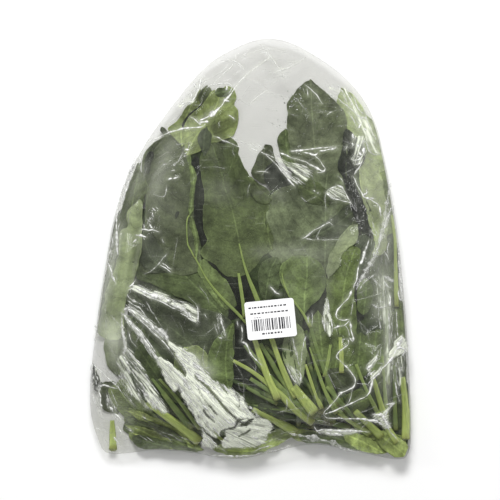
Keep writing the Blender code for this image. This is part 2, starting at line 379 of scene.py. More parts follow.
class Heap:
    """The height of everything laid so far, in millimetres over the map."""

    def __init__(self, heights, count):
        self.heights = heights.copy()
        self.smooth = box_blur(self.heights, 5)
        self.laid, self.count = 0, count

    def lay(self, x, y, relief, lift=0.4):
        """Heights for a sheet laid over points: on what is there, under the film. relief is its own form."""
        under = look_up(self.heights, x, y)
        bridged = look_up(self.smooth, x, y)
        top = np.maximum(bridged, under) + lift + relief
        for _ in range(2):
            padded = np.pad(top, 1, mode="edge")
            top = np.maximum((padded[:-2, 1:-1] + padded[2:, 1:-1] + padded[1:-1, :-2] + padded[1:-1, 2:]) / 4,
                             under + 0.2)
        share = 0.72 + 0.28 * min(1.0, (self.laid + 1) / self.count)
        ground, limit = look_up(GROUND, x, y), look_up(LIMIT, x, y)
        self.laid += 1
        return np.clip(top, ground, np.maximum(ground, ground + (limit - ground) * share))

    def add(self, x, y, heights):
        """Raises the heap to the heights of a dense grid of points."""
        i = np.round((x + HALF_X) / GRID).astype(int).clip(0, len(MAP_X) - 1)
        j = np.round((y + HALF_Y) / GRID).astype(int).clip(0, len(MAP_Y) - 1)
        np.maximum.at(self.heights, (j.ravel(), i.ravel()), heights.ravel())
        self.smooth = box_blur(self.heights, 5)


def finer(grid, factor):
    """A grid of values with factor times as many steps each way."""
    def along_rows(values):
        wanted = np.linspace(0, len(values) - 1, (len(values) - 1) * factor + 1)
        low = np.minimum(wanted.astype(int), len(values) - 2)
        share = (wanted - low)[:, None]
        return values[low] * (1 - share) + values[low + 1] * share
    return along_rows(along_rows(grid).T).T


# ---------------------------------------------------------------- leaves

# Linear colours of a leaf's face. The near-black one is painted shade: it goes to leaves laid where gaps between leaves
# lie in shadow.
TONES = {
    "char": (0.016, 0.019, 0.014),
    "dark": (0.062, 0.076, 0.041),
    "grey": (0.084, 0.104, 0.050),
    "dusty": (0.118, 0.142, 0.072),
    "mid": (0.082, 0.108, 0.044),
    "fresh": (0.125, 0.166, 0.058),
    "olive": (0.204, 0.254, 0.092),
    "moss": (0.205, 0.252, 0.112),
    "sage": (0.270, 0.325, 0.150),
    "yellow": (0.330, 0.405, 0.125),
    "pale": (0.400, 0.480, 0.200),
}
UNDERSIDE_TONES = ("pale", "sage", "moss")

# The leaves that the front shows, from the lowest to the highest: tone, points along the midrib from base to
# tip, then along the edge on its left and the edge on its right. The edges start and end at the midrib's ends.
# A fifth value is the height of the waves at its edge.
FRONT_LEAVES = [
    # beneath the rest: near-black leaves, painted shade between the stems and leaves above
    ("char", [(-20, -60), (-18, -30), (-32, -8)], [(-32, -50), (-34, -30), (-40, -15)], [(4, -50), (2, -30), (-10, -18)]),
    ("char", [(-6, -118), (-8, -90), (-9, -58)], [(-18, -110), (-18, -85), (-15, -66)], [(6, -108), (4, -85), (-2, -66)]),
    ("char", [(50, -110), (52, -80), (52, -46)], [(42, -100), (42, -75), (44, -55)], [(62, -100), (62, -75), (60, -55)]),
    ("char", [(78, -118), (84, -98), (92, -78)], [(64, -106), (70, -92), (84, -80)], [(90, -112), (96, -98), (97, -84)]),
    ("char", [(82, -62), (88, -34), (98, -6)], [(74, -50), (80, -24), (90, -8)], [(93, -56), (97, -34), (103, -14)]),
    # right side
    ("mid", [(106, -60), (109, -20), (112, 26)], [(97, -48), (99, -6), (104, 20)], [(121, -54), (122, -16), (119, 22)]),
    ("mid", [(114, -120), (118, -90), (118, -52)], [(104, -112), (106, -88), (109, -62)], [(128, -112), (128, -88), (124, -60)]),
    ("mid", [(112, -166), (119, -140), (121, -108)], [(100, -158), (106, -136), (112, -114)],
     [(128, -168), (131, -140), (130, -112)]),
    ("olive", [(113, 10), (109, 48), (106, 79)], [(106, 20), (102, 50), (97, 75)], [(122, 20), (117, 50), (112, 72)]),
    ("pale", [(102, 60), (101, 88), (93, 112)], [(92, 68), (88, 90), (84, 106)], [(113, 68), (109, 90), (101, 106)], 2.2),
    ("pale", [(90, 80), (88, 105), (75, 133)], [(80, 88), (74, 106), (71, 121)], [(98, 82), (98, 104), (88, 124)], 2.2),
    ("pale", [(104, -6), (102, 30), (99, 58), (93, 79)], [(96, 0), (94, 28), (89, 54), (89, 70)],
     [(112, 0), (113, 30), (109, 56), (102, 72)]),
    ("pale", [(98, -2), (101, 14), (100, 32)], [(94, 4), (96, 16), (96, 26)], [(105, 4), (107, 16), (105, 28)]),
    # middle and upper right
    ("mid", [(40, 60), (31, 80), (29, 99)], [(30, 68), (24.5, 80), (23, 92)], [(45, 70), (42, 84), (36, 96)]),
    ("dusty", [(58, 16), (56, 50), (53, 80), (51, 110), (50, 140)],
     [(45, 22), (37, 48), (35, 75), (32, 90), (30, 101), (31, 112), (31, 120), (38, 131), (44, 137)],
     [(70, 26), (77, 50), (79, 75), (80, 95), (79.5, 106), (78, 114), (72, 120), (65, 127), (57, 134)]),
    ("dark", [(28, 52), (12, 62), (12, 86)], [(10, 54), (1, 63), (6, 76)], [(24, 66), (20, 76), (18, 84)]),
    ("char", [(28, 48), (20, 58), (19, 72)], [(17, 50), (11.5, 58), (12.5, 66)], [(33, 54), (27, 64), (22, 72)]),
    ("dusty", [(60, -26), (61, 8), (61, 42), (63, 62)],
     [(46, -24), (28, -14), (14, -2), (13, 22), (14, 38), (20, 47), (34, 52), (50, 60)],
     [(70, -14), (76, 4), (84, 22), (85, 36), (81, 50), (74, 60)]),
    ("mid", [(64, 34), (52, 44), (38, 52)], [(58, 34), (46, 38), (40, 44)], [(66, 44), (54, 54), (44, 56)]),
    ("dark", [(46, 8), (64, 16), (84, 30)], [(54, 17), (66, 25), (80, 36)], [(60, 8), (72, 9), (81, 18), (85, 25)]),
    ("char", [(95, 2), (91, 26), (84, 50), (78, 74), (79, 99)],
     [(87, 4), (86, 22), (80, 40), (75, 56), (71, 68), (75, 80), (76, 90)],
     [(101, 10), (97, 22), (94, 36), (88, 48), (85, 60), (91, 72), (91, 84), (86, 93)]),
    ("char", [(87, 64), (89, 76), (87, 92)], [(82, 70), (82, 80), (84, 88)], [(92, 69), (95, 79), (92, 88)], 2.0),
    ("dark", [(84, -26), (90, -10), (98, 8)], [(80, -14), (84, 2), (92, 12)], [(88, -24), (96, -10), (102, 4)]),
    # left side
    ("dusty", [(-108, -106), (-110, -85), (-110, -62)], [(-116, -100), (-121, -84), (-119, -68)],
     [(-101, -98), (-101, -82), (-102, -68)]),
    ("mid", [(-116, -74), (-118, -40), (-110, 0), (-102, 34)], [(-129, -66), (-127, -36), (-120, 0), (-109, 30)],
     [(-106, -62), (-108, -32), (-102, 0), (-98, 28)]),
    ("mid", [(-18, -58), (-45, -30), (-68, -6), (-78, 10)],
     [(-40, -50), (-52, -42), (-67, -35), (-79, -29), (-92, -25), (-93, -10), (-86, 4)],
     [(-20, -40), (-36, -18), (-46, -2), (-62, 12)]),
    ("grey", [(-40, -18), (-42, 0), (-47, 25), (-49, 42), (-46.5, 58), (-51, 76), (-56, 95)],
     [(-54, -22), (-72, -18), (-86, -20), (-91, -12), (-88, 6), (-86, 26), (-86, 46), (-89, 64), (-87, 80), (-78, 89),
      (-68, 94)],
     [(-40, -4), (-44, 22), (-47, 42), (-44.5, 60), (-49, 74), (-51, 88)]),
    ("dark", [(-66, -20), (-82, -6), (-88, 14)], [(-80, -19), (-91, -10), (-91, 4)], [(-68, -8), (-76, 6), (-84, 14)]),
    ("char", [(-60.8, 24.5), (-60, 27), (-59, 30.5)], [(-61.7, 26), (-60.8, 29)], [(-59.6, 26), (-58.6, 29)]),
    ("char", [(-80, 31), (-79, 32), (-78, 33)], [(-79.8, 32.2), (-79, 33)], [(-79, 31), (-78, 32)]),
    ("grey", [(-103, -2), (-99, 28), (-94, 54), (-90, 72)], [(-112, 4), (-108, 28), (-100, 54), (-94, 68)],
     [(-95, 6), (-90, 24), (-88, 42), (-84.5, 46), (-84, 50), (-86.5, 56), (-88, 61), (-91, 65)]),
    ("sage", [(-116, -76), (-114, -56), (-107, -30), (-99, 0), (-94, 20), (-91, 41)],
     [(-125, -70), (-122, -50), (-117, -30), (-109, -6), (-107, 14), (-102, 18), (-102, 28), (-100, 33), (-95, 37)],
     [(-106, -73), (-104, -60), (-103, -45), (-99, -34), (-94, -22), (-89, 0), (-89, 15), (-88.5, 30), (-89, 38)]),
    ("char", [(-84, 62), (-84, 70), (-80, 80)], [(-87, 64), (-87, 72), (-84, 79)], [(-82, 64), (-82, 70), (-79, 76)]),
    ("fresh", [(-20, -50), (-31, -34), (-42, -12)], [(-25, -47), (-36, -31), (-43, -19)], [(-11, -46), (-19, -27), (-34, -9)]),
    ("char", [(-37, -6), (-21, -18), (-10, -31), (-5, -52)], [(-27, -19), (-15, -31), (-9, -48)],
     [(-30, -8), (-20, -14), (-6, -26), (-3, -44)]),
    ("fresh", [(-44, -10), (-43.5, 6), (-48, 27)], [(-45, 0), (-46, 10), (-49, 19)], [(-42, -2), (-42, 9), (-45, 20)]),
    ("fresh", [(-49.5, 26), (-48.5, 32), (-47, 44), (-46, 55), (-47.5, 66), (-50, 80), (-52, 96)],
     [(-50.2, 34), (-49.2, 46), (-48.5, 58), (-50, 68), (-52, 78), (-54, 90)],
     [(-46.5, 32), (-45.2, 42), (-43.5, 52), (-43, 60), (-48, 70), (-49, 88)]),
    ("char", [(-37, -2), (-39, 12), (-42, 30), (-41, 50), (-44, 76)],
     [(-39, 2), (-41, 10), (-43.5, 19), (-46, 28), (-46, 38), (-44.8, 50), (-44, 60), (-48, 70)],
     [(-34, 2), (-35, 14), (-36, 30), (-36, 48), (-38, 66)]),
    # upper left
    ("dark", [(-67, 90), (-71, 95), (-73, 100.5)], [(-71, 93), (-74, 97)], [(-67, 95), (-70, 99)]),
    ("olive", [(-56, 84), (-57, 98), (-51, 114), (-42, 132)],
     [(-62, 90), (-68, 97), (-68, 100), (-61, 105), (-57.5, 109), (-51.5, 118), (-45, 126)],
     [(-50, 90), (-48, 104), (-42, 116), (-38.5, 126)]),
    ("char", [(-56, 98), (-51, 108), (-42, 117), (-38, 124)], [(-57, 103), (-51.5, 109.8), (-42, 118.2)],
     [(-53, 100), (-47, 108.5), (-39, 117)]),
    ("grey", [(-41, 120), (-39, 128), (-36, 135)], [(-43, 125), (-40, 132)], [(-33, 121), (-32, 128), (-34, 133)], 2.4),
    ("olive", [(-52, 76), (-46, 90), (-36, 104), (-28, 118), (-24, 132)],
     [(-54, 80), (-54, 91), (-55, 99), (-52.6, 105.7), (-45.4, 113.9), (-41, 118), (-37, 123), (-31, 131)],
     [(-42, 80), (-29, 87), (-20.7, 90.2), (-14.6, 92.3), (-11.5, 99.5), (-10, 106), (-10.5, 114), (-13.6, 119),
      (-11.5, 125.5), (-14, 132), (-19, 135)], 2.0),
    ("mid", [(-29, 128), (-23, 129.5), (-16, 130)], [(-27, 132), (-20, 132.5)], [(-26, 125.5), (-19, 126)]),
    # the middle
    ("mid", [(-3, -21), (-7, -3), (-12, 20), (-15, 32), (-18, 42), (-21, 50), (-23, 60), (-26, 70), (-29, 79), (-31, 87)],
     [(-12, -23), (-21, -22), (-28, -14), (-38, -7), (-40, -2), (-35, 6), (-38, 15), (-39, 28), (-37.5, 40), (-38.5, 50),
      (-40, 60), (-41.5, 68), (-41, 74), (-38, 80), (-34.5, 84.5)],
     [(4, -14), (10, -6), (17, -1), (16, 10), (12, 19), (12, 28), (15, 34), (10, 41), (5, 48), (0, 58), (-3, 64),
      (-7, 72), (-10.5, 78), (-16, 84), (-22, 87)], 1.8),
    ("dark", [(-38, 75), (-38, 88), (-36, 101)], [(-41, 82), (-43, 90), (-41, 96)], [(-33.5, 81), (-31.5, 90), (-33, 96)]),
    ("mid", [(0, 60), (8, 49), (18, 40)], [(6, 55), (14, 49)], [(-1, 50), (5, 40), (13, 36)]),
    ("mid", [(18, -2), (15, 8), (14, 22)], [(13, 4), (12, 14)], [(19, 6), (17, 16)]),
    ("mid", [(12, -44), (14, -28), (17, -16), (22, -7)], [(8, -36), (6, -22), (9, -12), (15, -8)],
     [(20, -38), (25, -28), (26, -16), (25, -10)]),
    ("char", [(51, -62), (57, -44), (64, -20)], [(46, -56), (50, -42), (58, -28)], [(58, -60), (62, -44), (66, -28)]),
    ("fresh", [(44, -54), (44, -40), (46, -22), (46, -5)], [(37, -45), (29, -34), (24, -23), (26, -12), (34, -7)],
     [(48, -47), (55, -42), (60, -33), (61.5, -24), (58, -14), (52, -8)], 2.0),
    # right of the label
    ("fresh", [(92, -54), (94, -38), (95, -24)], [(87, -49), (87, -36), (89, -28)], [(97, -50), (100.5, -38), (99, -29)]),
    ("fresh", [(100, -104), (102, -85), (103, -66)], [(94, -98), (92, -82), (96, -69)], [(107, -98), (112, -84), (110, -69)]),
    ("fresh", [(86, -108), (88, -90), (90, -68)], [(77, -98), (76, -84), (82, -72)], [(95, -102), (99, -88), (97, -74)], 2.0),
    ("fresh", [(68, -104), (72, -76), (74, -50), (78, -22), (86, 2)],
     [(60, -94), (56, -74), (59, -54), (61, -40), (62, -24), (68, -8), (76, 2)],
     [(77, -96), (86, -78), (86, -50), (85, -32), (88, -14), (90, -2)], 2.2),
    ("moss", [(63.5, -25), (67, -10), (75, 4), (87.6, 20.5)], [(61.5, -18), (63, -8), (66, -2), (72, 8), (80, 17)],
     [(68, -19.5), (73, -13), (74, -6), (80, 0.5), (86, 5), (88.5, 13)]),
    ("fresh", [(61, -104), (58, -80), (55, -50)], [(55, -98), (49, -80), (49, -60)], [(65, -98), (66, -80), (60, -60)], 2.2),
    ("moss", [(40, -112), (37, -88), (36, -58)], [(31, -100), (26, -84), (28, -68)], [(44, -100), (46, -82), (43, -66)], 2.0),
    ("fresh", [(126, -86), (125, -62), (123, -40)], [(121, -78), (120, -60), (120, -46)], [(129, -78), (128, -60), (126, -46)]),
    # lower left and foot
    ("dark", [(-20, -104), (-50, -76), (-80, -52), (-99, -34)], [(-42, -102), (-70, -82), (-92, -60), (-102, -44)],
     [(-13, -85), (-16, -58), (-45, -46), (-78, -34)]),
    ("olive", [(-18, -134), (-40, -106), (-54, -80)], [(-36, -130), (-58, -106), (-62, -86)],
     [(-16, -116), (-30, -94), (-42, -79)]),
    ("fresh", [(-17, -120), (-20, -95), (-18, -72), (-14, -60)], [(-29, -112), (-34.5, -96), (-33, -82), (-25, -70)],
     [(-14.5, -112), (-13.5, -95), (-13.5, -75), (-13, -65)]),
    ("mid", [(-58, -126), (-74, -106), (-92, -80)], [(-68, -122), (-84, -104), (-94, -90)],
     [(-54, -116), (-64, -98), (-82, -78)]),
    ("char", [(-124, -120), (-128, -106), (-130, -92)], [(-129, -116), (-131, -102)], [(-121, -115), (-125, -104)]),
    ("dark", [(-110, -137), (-115, -124), (-117, -110)], [(-121, -133), (-124, -120), (-122, -111)],
     [(-104, -131), (-107, -118), (-111, -111)]),
    ("olive", [(-76, -148), (-96, -131), (-112, -112)], [(-92, -148), (-111, -132), (-117, -119)],
     [(-76, -138), (-91, -120), (-104, -108)]),
    ("olive", [(-50, -158), (-76, -148), (-103, -136)], [(-62, -160), (-84, -155), (-104, -144)],
     [(-58, -148), (-80, -139), (-98, -131)], 2.8),
    ("mid", [(-40, -163), (-70, -154), (-104, -144)], [(-54, -165), (-80, -160), (-104, -152)],
     [(-44, -155), (-72, -147), (-98, -138)], 2.6),
    ("olive", [(-38, -166), (-70, -159), (-100, -150)], [(-52, -168), (-80, -165), (-99, -158)],
     [(-46, -161), (-74, -153), (-94, -146)], 2.6),
    ("yellow", [(-46, -163), (-62, -152), (-84, -140), (-104, -133)], [(-66, -156), (-88, -144)],
     [(-60, -149), (-84, -136)], 3.0),
    ("mid", [(-50, -165), (-66, -156), (-86, -146), (-106, -139)], [(-68, -160), (-90, -150)],
     [(-62, -151), (-85, -142)], 3.2),
    ("olive", [(-56, -166), (-72, -159), (-88, -151), (-104, -145)], [(-74, -163), (-91, -155)],
     [(-70, -155), (-87, -147)], 3.0),
    ("grey", [(-52, -160), (-68, -150), (-88, -140)], [(-72, -153)], [(-68, -147)], 2.4),
    ("yellow", [(-62, -166), (-80, -159), (-97, -152)], [(-82, -163)], [(-80, -156)], 2.6),
    ("mid", [(-42, -168), (-68, -163), (-98, -156)], [(-55, -169), (-76, -168), (-94, -163)],
     [(-50, -164), (-72, -158), (-92, -153)], 2.0),
    ("dark", [(6, -128), (16, -133), (30, -140)], [(12, -126), (24, -130)], [(8, -134), (20, -141)]),
    ("fresh", [(61, -137), (78, -130), (98, -121)], [(64, -130), (76, -120), (90, -114)], [(70, -138), (86, -136), (97, -128)]),
    ("dark", [(84, -116), (74, -108), (63, -98)], [(76, -117), (64, -106)], [(86, -106), (76, -97)]),
    ("yellow", [(40, -150), (20, -157), (-4, -165)], [(28, -160), (10, -166)], [(26, -148), (8, -155)], 2.0),
    ("yellow", [(30, -150), (46, -156), (62, -157)], [(38, -148), (54, -151)], [(36, -157), (52, -161)], 2.0),
    ("yellow", [(72, -148), (94, -158), (116, -168)], [(84, -149), (104, -157)], [(78, -157), (98, -168)], 2.0),
    ("fresh", [(76, -150), (86, -156), (98, -160)], [(84, -150), (95, -155)], [(78, -156), (90, -163)]),
    ("yellow", [(106, -152), (117, -159), (128, -170)], [(114, -150), (127, -157)], [(107, -162), (119, -171)], 2.0),
    ("fresh", [(110, -154), (119, -157), (129, -164)], [(117, -152), (126, -157)], [(112, -158), (122, -164)], 2.0),
    ("yellow", [(108, -161), (118, -165), (127, -171)], [(114, -160), (125, -165)], [(112, -167), (122, -172)]),
    ("fresh", [(58, -152), (76, -158), (94, -166)], [(66, -151), (82, -155)], [(66, -160), (84, -167)], 2.0),
    ("yellow", [(84, -146), (96, -150), (108, -157)], [(92, -146), (104, -150)], [(88, -151), (98, -157)], 1.6),
    ("yellow", [(-34, -163), (-12, -167), (14, -166)], [(-20, -161), (0, -163)], [(-24, -169), (-2, -172)], 2.0),
]

# Leaves that lie over the stems' ends.
TOP_LEAVES = [
    ("yellow", [(103, -151), (115, -160), (128, -170)], [(112, -150), (123, -156), (130, -163)],
     [(104, -158), (112, -167), (122, -173)], 2.4),
    ("yellow", [(76, -152), (92, -159), (109, -168)], [(86, -151), (101, -158)], [(80, -160), (95, -168)], 2.2),
    ("fresh", [(40, -153), (58, -157), (76, -164)], [(50, -151), (66, -156)], [(44, -159), (60, -165)], 2.0),
]
CROWN_SPOT = (52, -140)  # where the bunch's stems meet
STEM_FAN = [(-14, -60), (48, -50), (100, -70), (126, -100), (126, -160), (30, -160), (-5, -130)]
FILLER_COUNT = 34
UNDER_COUNT = 18
LEAF_THICKNESS = 0.35
RIM_MARGIN = 1.0

RIM_DISTANCE = outline_depth([tuple(point) for point in RIM[::2, :2]], X_MAP, Y_MAP)
RIM_SLOPE_Y, RIM_SLOPE_X = np.gradient(RIM_DISTANCE, GRID)


def kept_inside(x, y, margin=RIM_MARGIN):
    """Points moved inwards until they lie margin inside the rim."""
    x, y = np.array(x, float), np.array(y, float)
    for _ in range(4):
        short = np.maximum(0, margin - look_up(RIM_DISTANCE, x, y))
        step_x, step_y = look_up(RIM_SLOPE_X, x, y) * short, look_up(RIM_SLOPE_Y, x, y) * short
        x, y = x + step_x, y + step_y
    return x, y


def leaf_points(midrib, left, right, rows, columns, rng):
    """Plan of a leaf: x and y over a grid, s (-1 at its right edge, 1 at its left), t (0 base, 1 tip) and offset."""
    spine = smooth_row(midrib, rows)
    length = np.linalg.norm(np.diff(spine, axis=0), axis=1).sum()
    edges = []
    for edge in (right, left):
        row = smooth_row([midrib[0], *edge, midrib[-1]], rows)
        along = np.gradient(row, axis=0)
        out = np.column_stack([-along[:, 1], along[:, 0]]) / np.maximum(np.linalg.norm(along, axis=1), 1e-6)[:, None]
        at = np.linspace(0, length, rows)
        ruffle = 0.7 * value_noise(at / 6, at * 0 + rng.uniform(0, 99)) + 0.45 * value_noise(at / 2.5, at * 0 + rng.uniform(0, 99))
        ruffle[0], ruffle[-1] = 0, 0
        edges.append(row + out * ruffle[:, None])
    t = np.linspace(0, 1, rows)[:, None]
    s = np.linspace(-1, 1, columns)
    s = (np.sign(s) * np.abs(s) ** 0.85)[None, :]
    reach = np.abs(s)[..., None]
    plan = spine[:, None] * (1 - reach) + np.where(s[..., None] < 0, edges[0][:, None], edges[1][:, None]) * reach
    widths = [np.linalg.norm(edge - spine, axis=1)[:, None] for edge in edges]
    offset = np.where(s < 0, s * widths[0], s * widths[1])
    x, y = kept_inside(plan[..., 0], plan[..., 1])
    return x, y, s, t, offset, length


def plain_leaf(base, tip, width, bend):
    """Midrib and edges of an ordinary pointed leaf."""
    base, tip = np.array(base, float), np.array(tip, float)
    run = tip - base
    side = np.array([-run[1], run[0]]) / np.linalg.norm(run)
    def place(t, offset):
        return tuple(base + run * t + side * (offset + bend * 4 * t * (1 - t)))
    midrib = [place(t, 0) for t in (0, 0.33, 0.67, 1)]
    shares = ((0.06, 0.62), (0.22, 1.0), (0.45, 0.92), (0.7, 0.66), (0.88, 0.34))
    return midrib, [place(t, width * w) for t, w in shares], [place(t, -width * w) for t, w in shares]


def leaf_relief(s, t, offset, length, vein, rng, underside, waviness):
    """A leaf's own form over its plan: cupped halves, blistered between the veins, waved at its edge."""
    cup = rng.uniform(-0.02, 0.06)
    waves, phase = length / rng.uniform(14, 22), rng.uniform(0, 6.3, 2)
    relief = cup * np.abs(offset) * np.abs(s)
    relief = relief + waviness * np.abs(s) ** 3 * np.sin(2 * math.pi * waves * t + np.where(s > 0, phase[0], phase[1]))
    blister = 0.9 * (0.5 - 0.5 * np.cos(2 * math.pi * vein)) * (1 - np.abs(s) ** 2) * np.minimum(1, np.abs(s) * 4)
    midrib = 0.8 * np.exp(-((offset / 1.4) ** 2)) * (1 - 0.7 * t)
    return relief + (midrib - 0.5 * blister if underside else blister - 0.5 * midrib)


def sheet_block(x, y, z, thickness):
    """Points and faces of a closed sheet whose upper face is a grid."""
    rows, columns = x.shape
    upper = np.stack([x, y, z], axis=-1).reshape(-1, 3)
    lower = upper - (0, 0, thickness)
    count = rows * columns
    faces = grid_faces(rows, columns, 0, flip=True) + grid_faces(rows, columns, count)
    index = np.arange(count).reshape(rows, columns)
    ring = np.concatenate([index[0, :-1], index[:-1, -1], index[-1, :0:-1], index[:0:-1, 0]])
    ahead = np.roll(ring, -1)
    faces += np.stack([ring, ahead, ahead + count, ring + count], axis=1).tolist()
    return np.vstack([upper, lower]), faces


class Pieces:
    """Many blocks of points and faces that become one mesh, with values for each point."""

    def __init__(self):
        self.points, self.faces, self.values, self.count = [], [], {}, 0

    def add(self, points, faces, **values):
        self.points.append(np.asarray(points, float))
        self.faces += [[corner + self.count for corner in face] for face in faces]
        for name, value in values.items():
            self.values.setdefault(name, []).append(np.broadcast_to(value, (len(points), np.size(value) if np.ndim(value) < 2 else np.shape(value)[1])))
        self.count += len(points)

    def make(self, name, kinds):
        made = new_mesh_object(name, np.vstack(self.points) * MM, self.faces)
        for key, kind in kinds.items():
            set_attribute(made, key, kind, np.vstack(self.values[key]))
        return made


LEAF_KINDS = {"tone": "FLOAT_COLOR", "blade": "FLOAT_VECTOR", "vein": "FLOAT", "under": "FLOAT"}


def lay_leaf(heap, pieces, rng, tone, midrib, left, right, waviness=1.3, step=1.7, lift=0.4, floor=None):
    """Lays one leaf on the heap, or against the bag's back when floor is given, and adds its mesh."""
    length = np.linalg.norm(np.diff(np.array(midrib, float), axis=0), axis=1).sum()
    width = max(math.dist(a, midrib[len(midrib) // 2]) for a in (left[len(left) // 2], right[len(right) // 2])) * 2
    rows, columns = max(12, int(length / step)), max(7, int(width / step) | 1)
    x, y, s, t, offset, length = leaf_points(midrib, left, right, rows, columns, rng)
    spacing = max(9.0, length / 8)
    reach = np.abs(offset)
    vein = (t * length - 0.62 * reach - 0.010 * reach**2) / spacing + rng.uniform(0, 1)
    underside = tone in UNDERSIDE_TONES
    relief = leaf_relief(s, t, offset, length, vein, rng, underside, waviness)
    if floor is None:
        z = heap.lay(x, y, relief, lift)
        heap.add(finer(x, 4), finer(y, 4), finer(z, 4))
    else:
        z = look_up(floor, x, y) + 0.6 + np.abs(relief) * 0.5
    points, faces = sheet_block(x, y, z, LEAF_THICKNESS)
    colour = np.array(TONES[tone]) * rng.uniform(0.92, 1.08) * (1, rng.uniform(0.97, 1.03), rng.uniform(0.9, 1.1))
    blade = np.stack([np.broadcast_to(offset, x.shape), np.broadcast_to(t * length, x.shape),
                      np.broadcast_to(np.abs(s), x.shape)], axis=-1).reshape(-1, 3)
    veins = np.broadcast_to(vein, x.shape).reshape(-1, 1)
    under = 1.0 if underside else 0.0
    turned = np.concatenate([np.full(x.size, under), np.full(x.size, 1 - under)])[:, None]
    pieces.add(points, faces, tone=np.array([*colour, 1.0]), blade=np.vstack([blade, blade]),
               vein=np.vstack([veins, veins]), under=turned)


def inside_filling(x, y, margin):
    return look_up(FILLING_DEPTH, x, y) > margin


def lay_fillers(heap, pieces, rng, count):
    """Leaves under the ones that show, fanned out from the crown over the whole filling."""
    laid = 0
    while laid < count:
        x, y = rng.uniform(-112, 116), rng.uniform(-150, 112)
        if not inside_filling(x, y, 10):
            continue
        away = math.atan2(y - CROWN_SPOT[1], x - CROWN_SPOT[0]) + rng.normal(0, 0.25)
        length = rng.uniform(62, 105) if y > -70 else rng.uniform(34, 62)
        heading = np.array([math.cos(away), math.sin(away)])
        base, tip = np.array([x, y]) - heading * length * 0.45, np.array([x, y]) + heading * length * 0.55
        if not (inside_filling(*base, 4) and inside_filling(*tip, 3)):
            continue
        shape = plain_leaf(base, tip, length * rng.uniform(0.2, 0.27), rng.uniform(-5, 5))
        tone = str(rng.choice(["dark", "mid", "mid", "grey"]))
        # Under the stems the fillers are near-black: painted shade in the gaps between the stems.
        lay_leaf(heap, pieces, rng, "char" if inside_outline(STEM_FAN, x, y) else tone, *shape, step=4.0)
        laid += 1


def lay_under_leaves(pieces, rng, count):
    """Leaves against the bag's back, seen round its sides."""
    corners = np.array(FILLING, float)
    ring = spaced(np.vstack([corners, corners[:1]]), count + 1)[:-1]
    floor = GROUND - 0.4
    for spot, ahead in zip(ring, np.roll(ring, -1, axis=0)):
        if look_up(RIM_DISTANCE, *spot) > 25:
            continue
        inward = np.array([0, -20.0]) - spot
        inward /= np.linalg.norm(inward)
        along = (ahead - spot) / np.linalg.norm(ahead - spot)
        tip = spot + inward * 3
        base = spot + inward * rng.uniform(45, 60) - along * rng.uniform(10, 30)
        shape = plain_leaf(base, tip, rng.uniform(15, 20), rng.uniform(-5, 5))
        lay_leaf(None, pieces, rng, str(rng.choice(["mid", "fresh", "pale", "mid"])), *shape, step=3.5, floor=floor)


# ---------------------------------------------------------------- stems

# Points along each stem, from its leaf to the crown, radius at its start and end, tone. Lowest first.
STEMS = [
    ([(8, -77), (16, -90), (24, -104), (34, -118)], 1.8, 2.2, "mid"),
    ([(-4, -78), (12, -100), (34, -122), (52, -138)], 2.0, 2.4, "mid"),
    ([(-3, -113), (10, -120), (22, -126)], 1.3, 2.0, "mid"),
    ([(-80, -106), (-64, -126), (-48, -147)], 1.2, 2.2, "mid"),
    ([(-74, -106), (-58, -124), (-42, -148)], 1.0, 1.8, "green"),
    ([(-72, -118), (-60, -134), (-48, -150)], 1.0, 1.8, "mid"),
    ([(-50, -128), (-40, -141), (-22, -159)], 0.9, 1.6, "bright"),
    ([(-84, -126), (-70, -136), (-56, -147), (-42, -159)], 2.4, 4.4, "bright"),
    ([(-114, -142), (-113.5, -153), (-113, -165)], 1.8, 3.4, "bright"),
    ([(2, -131), (14, -137), (26, -144), (38, -151)], 2.0, 4.0, "bright"),
    ([(47, -56), (53, -78), (62, -104), (72, -128)], 1.3, 2.2, "mid"),
    ([(48, -80), (55, -100), (61, -116), (70, -134)], 0.7, 2.2, "green"),
    ([(62, -112), (76, -128), (94, -148)], 1.6, 2.0, "mid"),
    ([(66, -124), (80, -140), (98, -154)], 1.4, 1.9, "green"),
    ([(72, -134), (84, -143), (100, -152)], 1.5, 1.9, "bright"),
    ([(86, -94), (94, -114), (103, -132), (111, -148)], 1.2, 2.0, "green"),
    ([(108, -88), (110, -112), (112, -140)], 1.3, 2.0, "green"),
    ([(119, -96), (119, -120), (120, -150)], 1.5, 2.2, "mid"),
    ([(99, -102), (104, -118), (110, -138)], 1.6, 2.8, "bright"),
    ([(104, -134), (112, -146), (121, -160)], 1.8, 3.2, "bright"),
    ([(86, -133), (96, -143), (108, -155)], 2.4, 3.4, "bright"),
    ([(125, -106), (128, -130), (128, -157)], 2.6, 3.6, "bright"),
    ([(118.5, 28), (119.5, 0), (120.5, -48)], 1.0, 2.0, "bright"),
    ([(112, -50), (112, -80), (113, -112)], 1.3, 1.8, "mid"),
    ([(73, -72), (74, -88), (74, -101)], 1.6, 2.1, "bright"),
    ([(65, -78), (63, -92), (60, -104)], 1.2, 1.6, "green"),
    ([(45, -94), (50, -110), (58, -130)], 1.0, 1.9, "bright"),
    ([(-9, 4), (-6, -9), (-2, -22), (4, -37), (12, -58)], 0.5, 2.5, "green"),
    ([(-49.5, 27), (-51.5, 22), (-51, 5), (-48.5, -1), (-45, -8)], 0.5, 0.5, "green"),
    ([(-45, -7), (-35, -25), (-24, -39), (-10, -53), (0, -64)], 0.6, 1.5, "green"),
    ([(-9.5, -20), (-7, -36), (-4, -56)], 1.1, 2.0, "green"),
    ([(25, -16), (27, -27), (31, -37), (37, -45), (43, -53), (49, -64)], 0.4, 1.4, "green"),
    ([(-14, -91), (0, -99), (12, -108), (26, -120), (38, -132), (51, -142)], 1.3, 3.5, "bright"),
    ([(17, -72), (24, -92), (31, -109), (37, -121)], 2.0, 2.7, "bright"),
    ([(35, -112), (43, -122), (52, -133)], 3.4, 4.6, "bright"),
    ([(3, -72), (9, -90), (15, -106), (22.5, -122)], 2.1, 3.4, "bright"),
]
